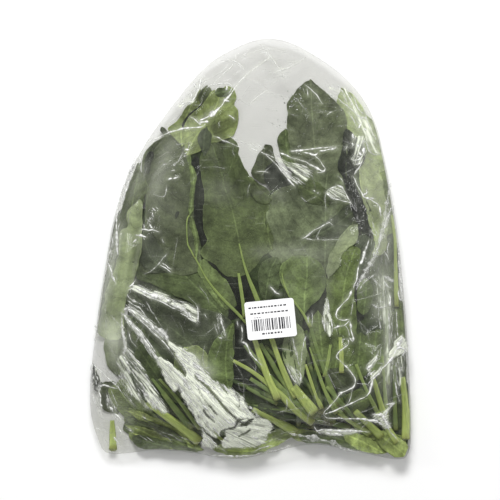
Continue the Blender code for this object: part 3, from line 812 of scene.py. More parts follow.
STEM_TONES = {
    "bright": (0.530, 0.635, 0.182),
    "green": (0.315, 0.408, 0.122),
    "mid": (0.195, 0.265, 0.088),
    # near-black: painted shade for hidden stems in the gaps
    "shade_deep": (0.040, 0.056, 0.026),
    "crown": (0.150, 0.140, 0.055),
}
STEM_SIDES = 12
STEM_KINDS = {"tone": "FLOAT_COLOR", "fibre": "FLOAT_VECTOR"}
BACK_STEM_COUNT = 18


def tube_block(points, radii, sides=STEM_SIDES, groove=0.22):
    """Points and faces of a closed tube along points, with a groove along its upper side."""
    tangent = np.gradient(points, axis=0)
    tangent /= np.linalg.norm(tangent, axis=1, keepdims=True)
    across = np.cross(tangent, (0, 0, 1.0))
    across /= np.linalg.norm(across, axis=1, keepdims=True)
    up = np.cross(across, tangent)
    turn = np.arange(sides) / sides * 2 * math.pi
    gap = (turn - math.pi / 2 + math.pi) % (2 * math.pi) - math.pi
    radius = 1 - groove * np.exp(-((gap / 0.5) ** 2)) + 0.03 * np.cos(5 * turn)
    ring = radii[:, None, None] * radius[None, :, None] * (
        np.cos(turn)[None, :, None] * across[:, None] + 0.88 * np.sin(turn)[None, :, None] * up[:, None])
    body = (points[:, None] + ring).reshape(-1, 3)
    rows = len(points)
    faces = []
    for row in range(rows - 1):
        for side in range(sides):
            a, b = row * sides + side, row * sides + (side + 1) % sides
            faces.append([a, a + sides, b + sides, b])
    ends = np.vstack([points[0], points[-1]])
    first, last = rows * sides, rows * sides + 1
    for side in range(sides):
        faces.append([first, side, (side + 1) % sides])
        faces.append([last, (rows - 1) * sides + (side + 1) % sides, (rows - 1) * sides + side])
    fibre = np.stack(np.broadcast_arrays(turn[None, :], np.linspace(0, 1, rows)[:, None], radii[:, None]), axis=-1)
    fibre = np.vstack([fibre.reshape(-1, 3), [[0, 0, 0], [0, 1, 0]]])
    return np.vstack([body, ends]), faces, fibre


def lay_stem(heap, pieces, rng, points, start, end, tone):
    """Lays one stem on the heap and adds its mesh."""
    row = smooth_row(points, max(12, int(np.linalg.norm(np.diff(np.array(points, float), axis=0), axis=1).sum() / 2.2)))
    share = np.linspace(0, 1, len(row))
    radii = start + (end - start) * share + 0.12 * np.sin(share * 9 + rng.uniform(0, 6))
    x, y = kept_inside(row[:, 0], row[:, 1], end * 0.8 + 0.6)
    rest = look_up(heap.smooth, x, y)
    under = np.maximum(rest, look_up(heap.heights, x, y) - 1.2)
    for _ in range(6):
        under[1:-1] = np.maximum((under[:-2] + under[2:]) / 2, rest[1:-1])
    ceiling = look_up(LIMIT, x, y) - radii * 0.55
    z = np.clip(under + radii * 0.7, look_up(GROUND, x, y) + radii, ceiling)
    block, faces, fibre = tube_block(np.column_stack([x, y, z]), radii)
    colour = np.array(STEM_TONES[tone]) * rng.uniform(0.9, 1.1)
    pieces.add(block, faces, tone=np.array([*colour, 1.0]), fibre=fibre)
    row = np.column_stack([x, y])
    for shift in (-0.5, 0, 0.5):
        along = np.gradient(row, axis=0)
        side = np.column_stack([-along[:, 1], along[:, 0]]) / np.linalg.norm(along, axis=1, keepdims=True)
        dense = finer(np.column_stack([x + side[:, 0] * radii * shift, y + side[:, 1] * radii * shift, z + radii * 0.7]), 1)
        fine = spaced(dense, len(dense) * 4)
        heap.add(fine[:, 0], fine[:, 1], fine[:, 2])


def lay_hidden_stems(heap, pieces, rng, count):
    """Stems under the ones that show, fanned out from the crown, mostly in a near-black tone that is painted shade
    between them.
    """
    for _ in range(count):
        turn = math.radians(rng.uniform(85, 195))
        length = rng.uniform(45, 95)
        near = np.array(CROWN_SPOT) + rng.uniform(-8, 8, 2) + (rng.uniform(-10, 30), 0)
        far = near + length * np.array([math.cos(turn), math.sin(turn)])
        if not inside_filling(*far, 8) or not inside_filling(*near, 4):
            continue
        middle = (near + far) / 2 + rng.uniform(-4, 4, 2)
        lay_stem(heap, pieces, rng, [far, middle, near], rng.uniform(1.4, 1.8), rng.uniform(2.0, 2.6),
                 str(rng.choice(["shade_deep", "shade_deep", "mid"])))


def make_heap():
    """Lays the whole filling. Returns its leaves, hidden leaves and stems, and the heap's final height map."""
    rng = np.random.default_rng(SEED)
    core = core_height()
    heap = Heap(core, FILLER_COUNT + len(FRONT_LEAVES))
    hidden, shown, stems = Pieces(), Pieces(), Pieces()
    lay_under_leaves(hidden, rng, UNDER_COUNT)
    lay_fillers(heap, hidden, rng, FILLER_COUNT)
    lay_hidden_stems(heap, stems, rng, BACK_STEM_COUNT)
    for leaf in FRONT_LEAVES:
        lay_leaf(heap, shown, rng, *leaf)
    for stem in STEMS:
        lay_stem(heap, stems, rng, *stem)
    for leaf in TOP_LEAVES:
        lay_leaf(heap, shown, rng, *leaf)
    return (shown.make("leaves_front", LEAF_KINDS), hidden.make("leaves_inner", LEAF_KINDS),
            stems.make("stems", STEM_KINDS), core, heap)


def make_core(core):
    """The closed mass inside the heap, which keeps it opaque. Its dark colour is painted shade for the pile's shadowed
    depths.
    """
    step = 3
    rows = np.arange(0, len(MAP_Y), step)
    columns = np.arange(0, len(MAP_X), step)
    filled = FILLING_DEPTH[np.ix_(rows, columns)] > CORE_INSET
    mesh = bmesh.new()
    corners = {}

    def corner(j, i, top):
        if (j, i, top) not in corners:
            height = core[rows[j], columns[i]] if top else GROUND[rows[j], columns[i]] + 1.5
            corners[j, i, top] = mesh.verts.new((MAP_X[columns[i]] * MM, MAP_Y[rows[j]] * MM, height * MM))
        return corners[j, i, top]

    for j in range(len(rows) - 1):
        for i in range(len(columns) - 1):
            if filled[j, i] and filled[j, i + 1] and filled[j + 1, i] and filled[j + 1, i + 1]:
                square = [(j, i), (j, i + 1), (j + 1, i + 1), (j + 1, i)]
                mesh.faces.new([corner(*at, True) for at in square])
                mesh.faces.new([corner(*at, False) for at in reversed(square)])
    border = [edge for edge in mesh.edges if edge.is_boundary]
    bmesh.ops.bridge_loops(mesh, edges=border)
    data = bpy.data.meshes.new("leaf_core")
    mesh.to_mesh(data)
    mesh.free()
    data.shade_smooth()
    made = bpy.data.objects.new("leaf_core", data)
    bpy.context.scene.collection.objects.link(made)
    return made


# ---------------------------------------------------------------- the film

# Creases: points along it, each with the width of the white line there; height of the ridge; whiteness. The white line
# is partly whitening of the folded film and partly a painted glint; many of the short ones are painted glints only.
CREASES = [
    # the left shoulder
    ([(-87, 86.5, 0.8), (-80, 89, 1.0), (-72, 92.5, 1.2), (-66, 95, 1.3), (-60, 96.5, 1.3), (-54, 98, 1.7),
      (-46, 98.5, 1.6), (-40, 99, 1.2), (-37, 101.5, 0.9)], 3.0, 1.0),
    ([(-42, 104.5, 0.8), (-38, 106, 2.4), (-33, 108.5, 4.4), (-30, 111, 3.4), (-26, 114, 1.6), (-23, 117, 1.2),
      (-21.5, 120, 1.9), (-20, 122, 2.6), (-17, 125, 1.3), (-14, 129, 1.0), (-8, 137, 0.9), (0, 145, 0.7),
      (8, 151, 0.7), (17, 158, 0.6)], 3.0, 1.0),
    ([(-42, 103.5, 0.8), (-38, 103, 2.6), (-35.5, 103.5, 2.8), (-34, 103, 0.8)], 1.0, 0.9),
    ([(-49.5, 108, 0.9), (-46, 106, 1.2), (-43, 103, 1.4), (-39.5, 100, 1.0)], 1.2, 0.95),
    ([(-44, 106.5, 0.5), (-42, 104, 0.8), (-39.5, 101, 0.7)], 0.8, 0.7),
    ([(-21, 121.5, 1.6), (-18.5, 120.8, 1.4), (-17, 120.3, 0.6)], 0.6, 0.95),
    ([(-18, 109, 0.6), (-15, 107, 0.9), (-12.5, 105, 0.7)], 0.5, 0.7),
    ([(-58, 117.5, 1.2), (-54, 120, 1.3), (-50, 120.5, 0.9), (-47.5, 121, 1.3), (-46, 124, 1.0), (-43.5, 128, 0.9),
      (-42, 131, 1.1), (-41, 134.5, 1.2)], 1.0, 0.95),
    ([(-47, 137, 1.0), (-45, 133, 1.6), (-44, 130, 1.0)], 0.6, 0.6),
    ([(-50, 130, 0.9), (-48, 127, 1.4), (-49, 123, 1.2)], 0.6, 0.6),
    ([(-40.5, 140, 1.6), (-41.5, 136, 2.0), (-42, 132, 1.4)], 0.6, 0.8),
    ([(-40, 133, 0.8), (-37, 137, 1.0), (-34.5, 140, 0.8)], 0.6, 0.5),
    ([(-35.5, 131.5, 0.6), (-33, 133.5, 1.2), (-29.5, 134.8, 1.4), (-24, 135, 1.0), (-18.5, 135.5, 0.9),
      (-15.5, 133, 1.0), (-15.5, 130, 0.9), (-18, 126.5, 0.8)], 0.7, 0.7),
    ([(-19, 134, 1.2), (-19, 131.5, 1.4), (-20, 129.5, 1.2)], 0.5, 0.85),
    ([(-29, 128, 0.8), (-27.5, 131.5, 1.0), (-24, 133, 0.6)], 0.4, 0.3),
    ([(-29, 136, 0.5), (-23, 142, 0.8), (-15, 150, 0.9), (-11, 159, 0.6)], 1.0, 0.6),
    ([(-16, 155, 0.7), (-10, 152, 0.9), (-5, 147, 0.6)], 0.8, 0.6),
    ([(-1, 118, 0.6), (6, 124, 0.9), (15, 130, 0.6)], 0.8, 0.5),
    # the dome
    ([(10, 167, 0.6), (20, 153, 0.9), (28, 139, 0.6)], 0.8, 0.5),
    ([(-8, 157, 0.6), (10, 164, 0.9), (29, 163, 0.6)], 0.8, 0.5),
    ([(16, 143, 0.6), (29, 147, 0.9), (39, 153, 0.9), (46, 157, 0.6)], 0.8, 0.5),
    # the fan of lines right of the notch
    ([(8, 78.5, 0.8), (14, 76, 0.9), (20, 73.5, 0.8)], 1.0, 0.6),
    ([(22, 78.5, 0.6), (27, 76.5, 1.4), (33, 74, 0.9), (40, 72, 1.0), (46, 69.5, 1.0), (51, 66.5, 2.0), (55, 64.5, 2.6),
      (59, 62.5, 1.8), (60.3, 64, 0.8)], 1.6, 1.0),
    ([(54, 61.5, 0.8), (58.5, 61.5, 1.4), (60.5, 64.5, 1.0), (58.5, 68, 0.8), (55, 73, 0.8), (52, 76, 0.9)], 0.8, 0.8),
    ([(33, 79, 1.2), (36, 79, 2.0), (40, 79.5, 1.8), (45, 80, 1.2), (52, 81, 1.1), (60, 82, 1.1), (70, 82.5, 1.2)],
     1.0, 0.95),
    ([(43, 78, 0.7), (48, 77.5, 1.4), (52, 76, 1.7), (55, 77.8, 0.8)], 0.8, 0.9),
    ([(56, 79, 1.2), (62, 80, 1.6), (67, 81, 1.6), (70, 82, 1.8)], 0.8, 0.85),
    ([(10, 77.5, 0.6), (20, 69.5, 0.9), (26, 62, 1.2), (32, 54, 1.5), (36, 50, 0.8)], 1.2, 0.6),
    ([(0, 86, 0.8), (3, 83.5, 1.1), (7, 81, 0.7)], 0.6, 0.55),
    ([(0, 80.7, 1.2), (3, 80.2, 1.1), (7, 77, 0.7)], 0.6, 0.8),
    ([(5, 85, 0.5), (9, 82, 1.0), (12, 81, 0.7)], 0.6, 0.45),
    ([(-30, 91, 0.6), (-26, 90, 1.0), (-21, 87.5, 1.3), (-14, 84.5, 1.0), (-8, 82, 0.6)], 0.6, 0.55),
    ([(-18, 92, 0.7), (-8, 87, 0.9), (3, 83, 0.7)], 0.5, 0.4),
    # the small triangle beside the dark gap
    ([(61, 45, 1.1), (66, 41, 1.7), (72, 39.5, 1.1), (79, 37.5, 0.9), (82, 36.5, 0.6)], 1.2, 0.9),
    ([(70, 51, 0.8), (74, 50, 1.5), (76, 47, 1.2), (78.5, 42, 1.0), (82, 37, 0.8)], 1.0, 0.85),
    ([(61, 45.5, 0.9), (65, 48.5, 1.0), (70, 50.5, 1.2)], 0.8, 0.7),
    ([(71, 59, 0.5), (74, 56, 0.8), (75.5, 52, 1.0)], 0.5, 0.5),
    ([(61, 45, 0.6), (60.5, 38, 0.6), (61, 31, 0.5)], 0.3, 0.4),
    ([(42, 8.3, 1.3), (44, 9.2, 2.0), (46, 10.5, 1.8), (49, 13, 1.2), (54, 16, 1.1), (60, 19, 1.2), (64.5, 21.5, 1.4)],
     0.9, 0.95),
    ([(44, 8, 1.0), (50, 7, 0.6), (56, 7.5, 0.6), (62, 7, 0.5), (72, 7, 0.4)], 0.5, 0.6),
    ([(63, 21.5, 0.6), (65.5, 20, 0.8), (66.5, 18.5, 0.5)], 0.3, 0.8),
    ([(54.5, 9, 1.0), (54.8, 7, 1.0)], 0.3, 0.8),
    ([(65, 24, 0.8), (66, 23, 0.8)], 0.3, 0.7),
    # right of the dark gap
    ([(83.5, 58, 0.8), (85, 56, 1.0), (86.5, 52, 1.5), (88.5, 48, 1.7), (90.5, 44.5, 1.9), (92, 42, 3.2), (95, 41, 3.8),
      (98, 40, 2.4), (101, 38, 1.4), (104, 36, 1.3), (105.5, 33, 1.4), (106, 29, 1.2), (106.5, 26.5, 0.8)], 1.4, 1.0),
    ([(92, 43, 1.6), (95, 45.5, 1.0), (94, 48, 0.6)], 0.6, 0.9),
    ([(97, 41.5, 1.9), (101, 40.5, 0.8)], 0.5, 0.9),
    ([(84, 60, 0.7), (87, 64, 0.9), (90, 68, 0.6)], 0.5, 0.6),
    ([(84.3, 94, 1.0), (83.8, 91, 2.4), (85.2, 89.6, 1.6)], 0.8, 1.0),
    ([(87.6, 90.6, 1.0), (90, 90.6, 1.8), (91.6, 91.4, 0.8)], 0.6, 0.8),
    ([(93, 89, 1.4), (91.5, 86.5, 1.8), (92.5, 84.5, 1.2)], 0.8, 1.0),
    ([(93.5, 82.5, 1.2), (92.6, 79.5, 2.6), (93, 77, 1.4)], 0.8, 1.0),
    ([(91.5, 76, 1.2), (89.6, 77.6, 2.2), (88.6, 79.6, 1.0)], 0.6, 0.9),
    ([(87.4, 85.6, 0.8), (88.2, 83.6, 1.8), (87.6, 81.8, 0.8)], 0.4, 0.9),
    ([(83.2, 86.6, 1.4), (83.6, 84.4, 1.6), (82.6, 82.6, 0.8)], 0.4, 1.0),
    ([(86.6, 76.4, 0.8), (87.8, 75.0, 1.6), (89.6, 74.6, 0.8)], 0.4, 0.9),
    ([(82, 73.5, 1.2), (84, 71.7, 1.6), (88, 72.5, 1.7), (90.5, 74.8, 1.0)], 0.6, 1.0),
    ([(85, 68.5, 1.6), (88, 69, 1.7), (91.5, 70.5, 1.0)], 0.6, 0.9),
    ([(91, 70, 1.2), (88, 65, 0.9), (84.5, 60, 0.7)], 0.6, 0.7),
    ([(78.8, 84, 0.9), (78.3, 82, 1.5), (77, 80.8, 0.7)], 0.3, 1.0),
    ([(91.5, 104, 0.8), (89.5, 100.5, 1.3), (88, 98, 1.3)], 0.5, 0.95),
    ([(90, 105.5, 0.8), (92, 107.5, 1.4), (96, 106, 0.9)], 0.5, 0.85),
    ([(93, 98, 1.7), (95, 97, 0.9)], 0.4, 0.9),
    ([(62, 128, 0.6), (70, 124, 0.9), (78, 118, 0.9), (85, 112, 1.0), (90, 108, 1.1), (94, 105.5, 0.8)], 0.8, 0.6),
    ([(84.5, 126, 0.7), (86, 121, 1.0), (89, 114, 1.0), (93, 110.5, 0.8)], 0.7, 0.6),
    ([(78, 128, 0.6), (83, 121, 1.0), (82, 116, 0.7)], 0.7, 0.5),
    ([(80, 112, 0.6), (85, 104, 1.0), (87, 100, 0.8)], 0.6, 0.5),
    ([(92, 114, 0.6), (98, 100, 1.0), (101, 92, 0.7)], 0.7, 0.45),
    ([(95, 84, 0.8), (100, 77.5, 1.1), (108, 77.3, 1.3)], 0.6, 0.5),
    ([(99, 22, 0.5), (101.5, 15, 0.9), (104, 11, 0.6)], 0.4, 0.6),
    ([(98, 15, 0.6), (100.5, 12, 0.9), (103, 10.5, 0.6)], 0.3, 0.7),
    # the broad translucent fold down the right side
    ([(118, 35.5, 1.2), (114, 29, 2.4), (110.5, 20, 3.6), (107.5, 10, 4.6), (104, 1, 5.0), (100, -8, 5.0), (95, -16, 4.4),
      (90, -24, 3.0), (85.5, -33, 1.0)], 1.5, 0.34),
    ([(115.5, 54, 1.4), (113, 43, 2.8), (110.5, 31, 3.2), (108, 18, 3.0), (104.5, 6, 2.0)], 1.0, 0.28),
    ([(117, 35, 0.6), (112.5, 27, 0.8), (109, 18, 0.8), (106, 9, 0.8), (103, 0, 0.7)], 0.4, 0.5),
    ([(101, -21, 0.8), (97, -24, 1.1), (92, -27.5, 0.8), (88, -33, 0.6)], 0.8, 0.45),
    # the long zigzag
    ([(96.5, 7, 0.6), (94.5, 2, 1.3), (92.5, -3, 2.2), (91.5, -7, 2.4), (90, -11, 1.8)], 1.4, 0.8),
    ([(91, -9, 1.4), (89.5, -11.5, 1.8), (88.5, -13, 0.6)], 0.6, 1.0),
    ([(88, -14, 0.7), (87, -18, 1.5), (86, -24, 1.0), (84, -30, 1.0), (83.2, -33, 0.7)], 1.2, 0.85),
    ([(82.5, -33.5, 0.8), (81, -36.5, 2.0), (79, -40, 1.2), (76.3, -43, 2.0), (74, -45.3, 1.0), (72, -48, 1.3), (70, -51, 1.0),
      (69, -54, 0.9), (71, -56.5, 1.0), (75, -57.7, 1.3), (78, -57.6, 0.9), (80.3, -57.2, 1.1)], 1.4, 1.0),
    ([(80, -58, 1.2), (78.5, -60, 1.1), (76, -62, 1.4), (72, -62.6, 1.5), (68.5, -64, 1.8), (67, -64.8, 1.2)], 1.2, 1.0),
    ([(77, -62, 1.4), (79, -66, 1.2), (80, -71, 0.8)], 0.8, 0.7),
    ([(80, -58, 1.4), (81, -62, 1.9), (82, -67, 1.7), (83.2, -72, 1.5), (82.5, -75, 2.0), (80.5, -72, 0.9)], 1.0, 1.0),
    ([(83.5, -40, 0.7), (82.5, -47, 0.8), (81, -54, 0.7)], 0.5, 0.4),
    ([(79.3, -74, 0.8), (79.3, -77, 1.1), (77, -79.5, 0.9), (73, -82.5, 0.9), (71, -85, 0.9), (70, -88, 1.0), (73, -91, 1.1),
      (78, -96, 1.2), (82, -101, 1.3), (84.5, -105, 1.4), (85, -109, 1.3), (83, -112, 1.3), (79, -114.5, 1.9),
      (74, -116.5, 2.6), (71.5, -119, 1.5), (68, -124, 1.1), (63, -129.5, 1.0), (60.5, -132, 1.2), (60, -134.5, 1.3),
      (61.5, -136.8, 1.2), (65, -137.8, 1.0), (72, -138, 1.2), (80, -138.5, 1.4), (90, -138.5, 1.7), (96, -139.5, 1.7),
      (102, -141, 2.1), (106, -142.5, 2.0)], 1.6, 1.0),
    ([(61, -134.5, 0.9), (66, -132.5, 1.1), (72, -130, 1.2), (78, -127, 1.3), (83, -125, 1.4), (88, -122, 1.7),
      (91, -121, 1.0), (94, -119.5, 0.9), (96, -117, 1.3), (97.5, -114, 1.7), (98.5, -110, 2.3), (99.5, -106, 2.7),
      (102, -103, 2.3), (105, -100.5, 2.1), (107, -97, 2.5), (110, -95, 2.1), (113, -91.5, 3.1), (115.5, -88.5, 3.4),
      (118, -85, 4.0), (120, -81.5, 4.4), (123, -81, 4.0), (126, -83, 3.0), (128, -85, 1.6)], 1.8, 1.0),
    ([(119, -80, 3.2), (122, -77, 2.2), (124, -73, 1.5), (124.5, -70, 0.8)], 1.0, 0.95),
    ([(94.5, -95, 1.4), (95.5, -98, 2.8), (98, -101, 2.2), (99.5, -105, 1.6)], 0.8, 0.7),
    ([(95, -97, 2.8), (98, -94.5, 2.2), (101, -91, 2.0), (103, -87, 1.5), (104, -83, 0.8)], 1.2, 1.0),
    ([(99, -135, 1.2), (103, -135, 2.4), (107, -136, 4.0), (109.5, -139, 5.0), (111, -142, 4.0), (112.5, -146, 2.2),
      (114, -149, 1.0)], 1.4, 1.0),
    ([(104, -141.5, 1.6), (107.5, -143.5, 1.8), (109.5, -146.5, 1.0)], 0.8, 0.95),
    ([(109, -137, 1.6), (112, -132, 1.4), (115, -128, 1.6), (118, -125.5, 1.4)], 0.8, 0.85),
    ([(110.5, -127, 1.2), (113.5, -126.5, 2.2), (117, -126, 1.4)], 0.8, 1.0),
    ([(118, -108, 0.6), (119, -113, 0.9), (120, -119, 1.0), (122, -125, 0.7)], 0.6, 0.85),
    ([(113, -149, 0.8), (117, -153, 0.9), (120, -156, 0.7)], 0.6, 0.5),
    # the crown and the foot
    ([(52, -145, 1.2), (54, -148, 2.0), (56.5, -150.5, 1.3)], 0.8, 1.0),
    ([(55, -148.5, 1.2), (60, -148, 1.8), (68, -148.5, 2.0), (76, -149, 2.0), (84, -149, 1.8), (90, -149, 1.3),
      (97, -149.8, 0.6)], 1.2, 1.0),
    ([(60, -150.3, 1.1), (66, -151.5, 1.8), (72, -151.7, 2.0), (77, -152.7, 1.0)], 0.8, 0.85),
    ([(32, -151, 1.0), (40, -152.5, 2.6), (50, -155, 4.8), (60, -157, 5.2), (68, -159, 4.4), (74, -162, 2.6),
      (80, -165, 1.8), (88, -166.5, 1.0), (94, -167.5, 0.8)], 1.8, 0.40),
    ([(70, -161.5, 0.8), (75, -164, 1.3), (82, -165.5, 1.0), (90, -167, 0.8)], 0.5, 0.8),
    ([(-35, -170, 0.8), (-20, -170.5, 1.3), (-8, -170.5, 1.3), (2, -169.5, 1.0), (10, -167, 0.8)], 0.5, 0.9),
    ([(2, -167, 0.6), (8, -163.5, 1.1), (13, -162, 1.2), (19, -162, 0.6)], 0.8, 0.8),
    ([(12, -168, 0.8), (20, -166, 2.2), (27, -163.5, 3.0), (33, -161, 2.0)], 0.8, 0.55),
    ([(-7.5, -75, 1.4), (-4, -77, 1.8), (-2, -80, 1.6), (0, -85, 1.7), (2.5, -87.5, 0.9), (6, -91, 1.1), (9.5, -94.5, 0.9)],
     0.9, 0.8),
    ([(29.5, -94, 0.8), (31, -99, 1.2), (34, -105, 1.5), (37, -109, 1.8)], 0.8, 0.7),
    ([(36, -97, 0.8), (40, -101, 1.2), (41, -106, 1.4), (40, -110, 1.0)], 0.6, 0.6),
    ([(45, -71, 1.5), (43, -76, 0.9), (42, -84, 0.8), (41, -92, 0.7), (40.5, -99, 0.7)], 0.8, 0.6),
    ([(34, -72, 1.0), (36, -80, 2.2), (38, -88, 2.6), (40, -95, 1.6)], 0.8, 0.35),
    # round the label
    ([(16, -30.5, 0.8), (18, -33, 1.6), (20.5, -35.5, 1.6), (24, -37, 2.2)], 0.9, 0.9),
    ([(47, -54, 0.8), (46.6, -57, 1.1), (47, -60, 0.8)], 0.4, 0.85),
    ([(50, -51, 0.7), (50, -56, 1.0), (49.5, -62, 0.7)], 0.4, 0.6),
    ([(-24.5, -54, 0.8), (-23.3, -59, 1.4), (-21.5, -64, 1.2), (-19.5, -71.5, 0.8)], 0.8, 0.85),
    ([(-26.5, -53.5, 0.8), (-24.5, -57, 1.1)], 0.4, 0.5),
    ([(-29, -61, 0.9), (-27.5, -66, 1.5), (-26, -69, 0.8)], 0.4, 0.45),
    ([(-26, -71, 1.0), (-24, -72.3, 1.6), (-22.5, -73, 0.8)], 0.4, 0.55),
    ([(-37, -53, 0.6), (-35, -56.3, 0.9)], 0.3, 0.6),
    ([(-10.5, -58, 0.9), (-9.7, -63, 1.0)], 0.3, 0.6),
    ([(-7, -62, 0.9), (-6.5, -67, 1.0), (-6.5, -72, 0.9), (-7.5, -75, 0.9)], 0.5, 0.65),
    # the left side
    ([(-53.2, 81, 1.0), (-51.5, 80.7, 1.8), (-50, 80.5, 1.0)], 0.4, 1.0),
    ([(-54.2, 77, 0.7), (-52.5, 77.7, 1.2), (-51, 78.2, 0.6)], 0.4, 0.95),
    ([(-54.5, 75, 0.6), (-52.5, 75.5, 1.0), (-51.3, 75.9, 0.5)], 0.3, 0.8),
    ([(-67, 56.2, 0.7), (-65, 57, 1.7), (-63.3, 57, 0.9)], 0.4, 1.0),
    ([(-63, 56.8, 0.9), (-61.2, 57, 1.9), (-59.5, 57.6, 1.1), (-57.8, 58.4, 0.5)], 0.4, 1.0),
    ([(-64.5, 63, 0.8), (-62.7, 63.3, 1.3), (-61, 63.5, 0.7)], 0.3, 0.5),
    ([(-59, 69, 1.0), (-57.5, 73, 2.0), (-56, 76, 1.6), (-54.5, 79, 1.0)], 0.4, 0.35),
    ([(-63, 67, 1.2), (-60.5, 69, 1.7), (-59, 71, 1.0)], 0.4, 0.30),
    ([(-67.5, 52, 0.8), (-68.3, 46, 1.1), (-70, 42.3, 1.1), (-74, 42.3, 1.0), (-79.5, 44.5, 0.8)], 0.4, 0.28),
    ([(-89.5, 15.3, 0.9), (-86, 15.6, 1.3), (-83, 15, 0.9), (-80, 15.2, 1.1), (-77, 14.3, 1.3), (-73.5, 13.4, 0.7)], 0.6, 0.85),
    ([(-82.3, 19.8, 0.9), (-81, 18, 1.5), (-79.5, 16, 0.9)], 0.4, 0.8),
    ([(-84.5, 24.5, 0.6), (-82, 22.5, 1.0), (-80.5, 21, 0.8)], 0.4, 0.6),
    ([(-86.7, 20, 0.8), (-86, 16.5, 1.2)], 0.3, 0.6),
    ([(-79.2, 30, 0.6), (-79, 27, 0.8), (-78, 25, 0.6)], 0.3, 0.5),
    ([(-79.5, 33, 0.6), (-78, 31.6, 0.9), (-76, 30.2, 0.6)], 0.3, 0.5),
    ([(-77, 34, 0.5), (-74.5, 31.5, 0.9)], 0.3, 0.45),
    ([(-93.5, 10.8, 1.0), (-90, 10.7, 2.1), (-87, 9.9, 1.6), (-84.3, 9.0, 0.7)], 0.6, 0.9),
    ([(-95.5, 4.6, 0.7), (-93.6, 7.2, 1.3), (-92, 8.3, 0.7)], 0.4, 0.85),
    ([(-92.6, 6, 0.8), (-91.5, 4.6, 1.1)], 0.3, 0.7),
    ([(-71.6, 8, 0.8), (-70.6, 6, 1.5), (-70, 4.6, 0.8)], 0.3, 0.5),
    ([(-73, -13, 0.8), (-70, -15.2, 0.9), (-67, -16.7, 1.0), (-64, -19.2, 1.2)], 0.5, 0.8),
    ([(-71.3, -11.7, 0.8), (-68, -13.7, 1.0), (-66, -16, 0.8), (-63.5, -17, 1.1)], 0.5, 0.7),
    ([(-86, -20.5, 0.5), (-80, -18, 0.8), (-76, -14.5, 0.9), (-72, -10, 1.1), (-69, -6, 1.0), (-67.3, -3.8, 0.6)], 0.4, 0.33),
    # the rib below the left hero leaf
    ([(-97, -33, 1.0), (-93.5, -31.8, 2.2), (-90, -33, 3.6), (-86, -35, 4.4), (-81, -37, 4.8), (-76, -38.2, 5.2),
      (-71, -39.7, 5.2), (-67, -41.5, 4.4), (-64.5, -43, 2.0)], 2.4, 0.88),
    ([(-88, -36.7, 0.7), (-82, -39.3, 1.0), (-76, -41.5, 0.9), (-70, -44, 1.0), (-65, -46.5, 1.1), (-60, -49, 0.8)], 1.0, 0.9),
    ([(-65, -45, 1.2), (-61, -46, 3.4), (-57, -47.5, 4.2), (-53, -50, 3.6), (-50.7, -53, 2.4), (-50, -56, 1.0)], 1.4, 0.60),
    ([(-63, -42, 0.8), (-58, -45, 1.2), (-53, -48.5, 1.4), (-50.5, -52, 1.2)], 0.6, 0.7),
    ([(-49.6, -50, 1.0), (-49, -54, 2.2), (-47, -56.5, 2.2), (-44.7, -59, 1.6), (-42.8, -61, 0.8)], 0.8, 0.55),
    ([(-42.4, -46, 0.8), (-42, -52, 1.4), (-42.3, -57, 1.2), (-42.8, -61, 1.0)], 0.8, 0.85),
    ([(-50, -47, 0.6), (-46, -48, 1.6), (-43, -49, 0.8)], 0.5, 0.5),
    ([(-98.5, -31.5, 0.8), (-96, -29.5, 1.2), (-94, -27, 1.4), (-93, -25.8, 0.8)], 0.8, 0.85),
    ([(-99.5, -33.7, 0.8), (-96, -32.6, 1.6), (-93, -31.5, 1.1)], 0.8, 0.95),
    ([(-100, -36, 0.8), (-99, -39, 1.4), (-96.3, -41.2, 1.6), (-94, -42.6, 2.0), (-91, -43.7, 0.9)], 0.8, 0.85),
    ([(-99.5, -42, 0.8), (-95, -45, 1.0), (-90, -47.5, 1.1), (-87, -51, 1.0), (-83, -56, 0.9), (-81, -58.5, 0.6)], 0.8, 0.5),
    ([(-84, -43, 0.6), (-80, -50, 0.9), (-75, -57, 0.8), (-71, -64, 0.6)], 0.5, 0.22),
    # where the film is gathered, left of the rib: lines that fan out over the silvery patches
    ([(-100, -49, 0.9), (-94, -51.5, 1.3), (-87, -56, 1.7), (-80, -62, 1.7), (-74, -68, 1.9), (-70, -73, 2.2)], 1.6, 0.95),
    ([(-99, -50, 0.7), (-90, -57, 0.8), (-82, -64, 0.9), (-76, -70, 0.9), (-71, -74.5, 1.0), (-66, -80.5, 1.1),
      (-60, -88.5, 1.3), (-55, -96, 1.1), (-52, -103, 0.6)], 1.2, 1.0),
    ([(-88, -56.5, 0.6), (-80, -60.5, 1.4), (-74, -65, 2.6), (-69, -69.5, 3.8), (-66, -74.5, 3.0)], 1.0, 0.62),
    ([(-103, -53, 1.2), (-99, -57.5, 2.0), (-95, -61.5, 1.4), (-90, -67, 1.1), (-85, -74, 1.0), (-80, -81, 0.9),
      (-75, -87.5, 0.9), (-70, -93, 0.9)], 1.4, 1.0),
    ([(-98, -60, 0.6), (-92, -66.5, 0.8), (-87, -72.5, 0.9), (-82, -79.5, 1.3), (-78, -85.5, 2.2), (-75, -90, 2.6)], 1.0, 0.8),
    ([(-93, -62, 0.5), (-87, -68.5, 0.7), (-82, -75.5, 0.7), (-76, -84, 0.8)], 0.6, 0.7),
    ([(-103.5, -53, 1.3), (-104, -60, 1.8), (-103, -68, 2.8), (-101.5, -75, 3.0), (-101, -81, 2.6), (-103, -86, 2.0)],
     1.2, 0.55),
    ([(-104.3, -52, 0.8), (-104.2, -60, 0.9), (-103.6, -68, 0.8), (-102.6, -76, 0.7)], 0.6, 0.8),
    ([(-103.5, -50.5, 1.2), (-100.5, -48.7, 2.4), (-97.5, -47.3, 1.5)], 1.0, 0.7),
    ([(-98.5, -68, 0.7), (-96.5, -74, 0.9), (-92, -80, 0.7)], 0.5, 0.6),
    ([(-57.5, -112, 0.9), (-54, -118, 0.9), (-50, -126, 0.9), (-44, -134, 1.0), (-39, -141, 0.8)], 0.8, 0.85),
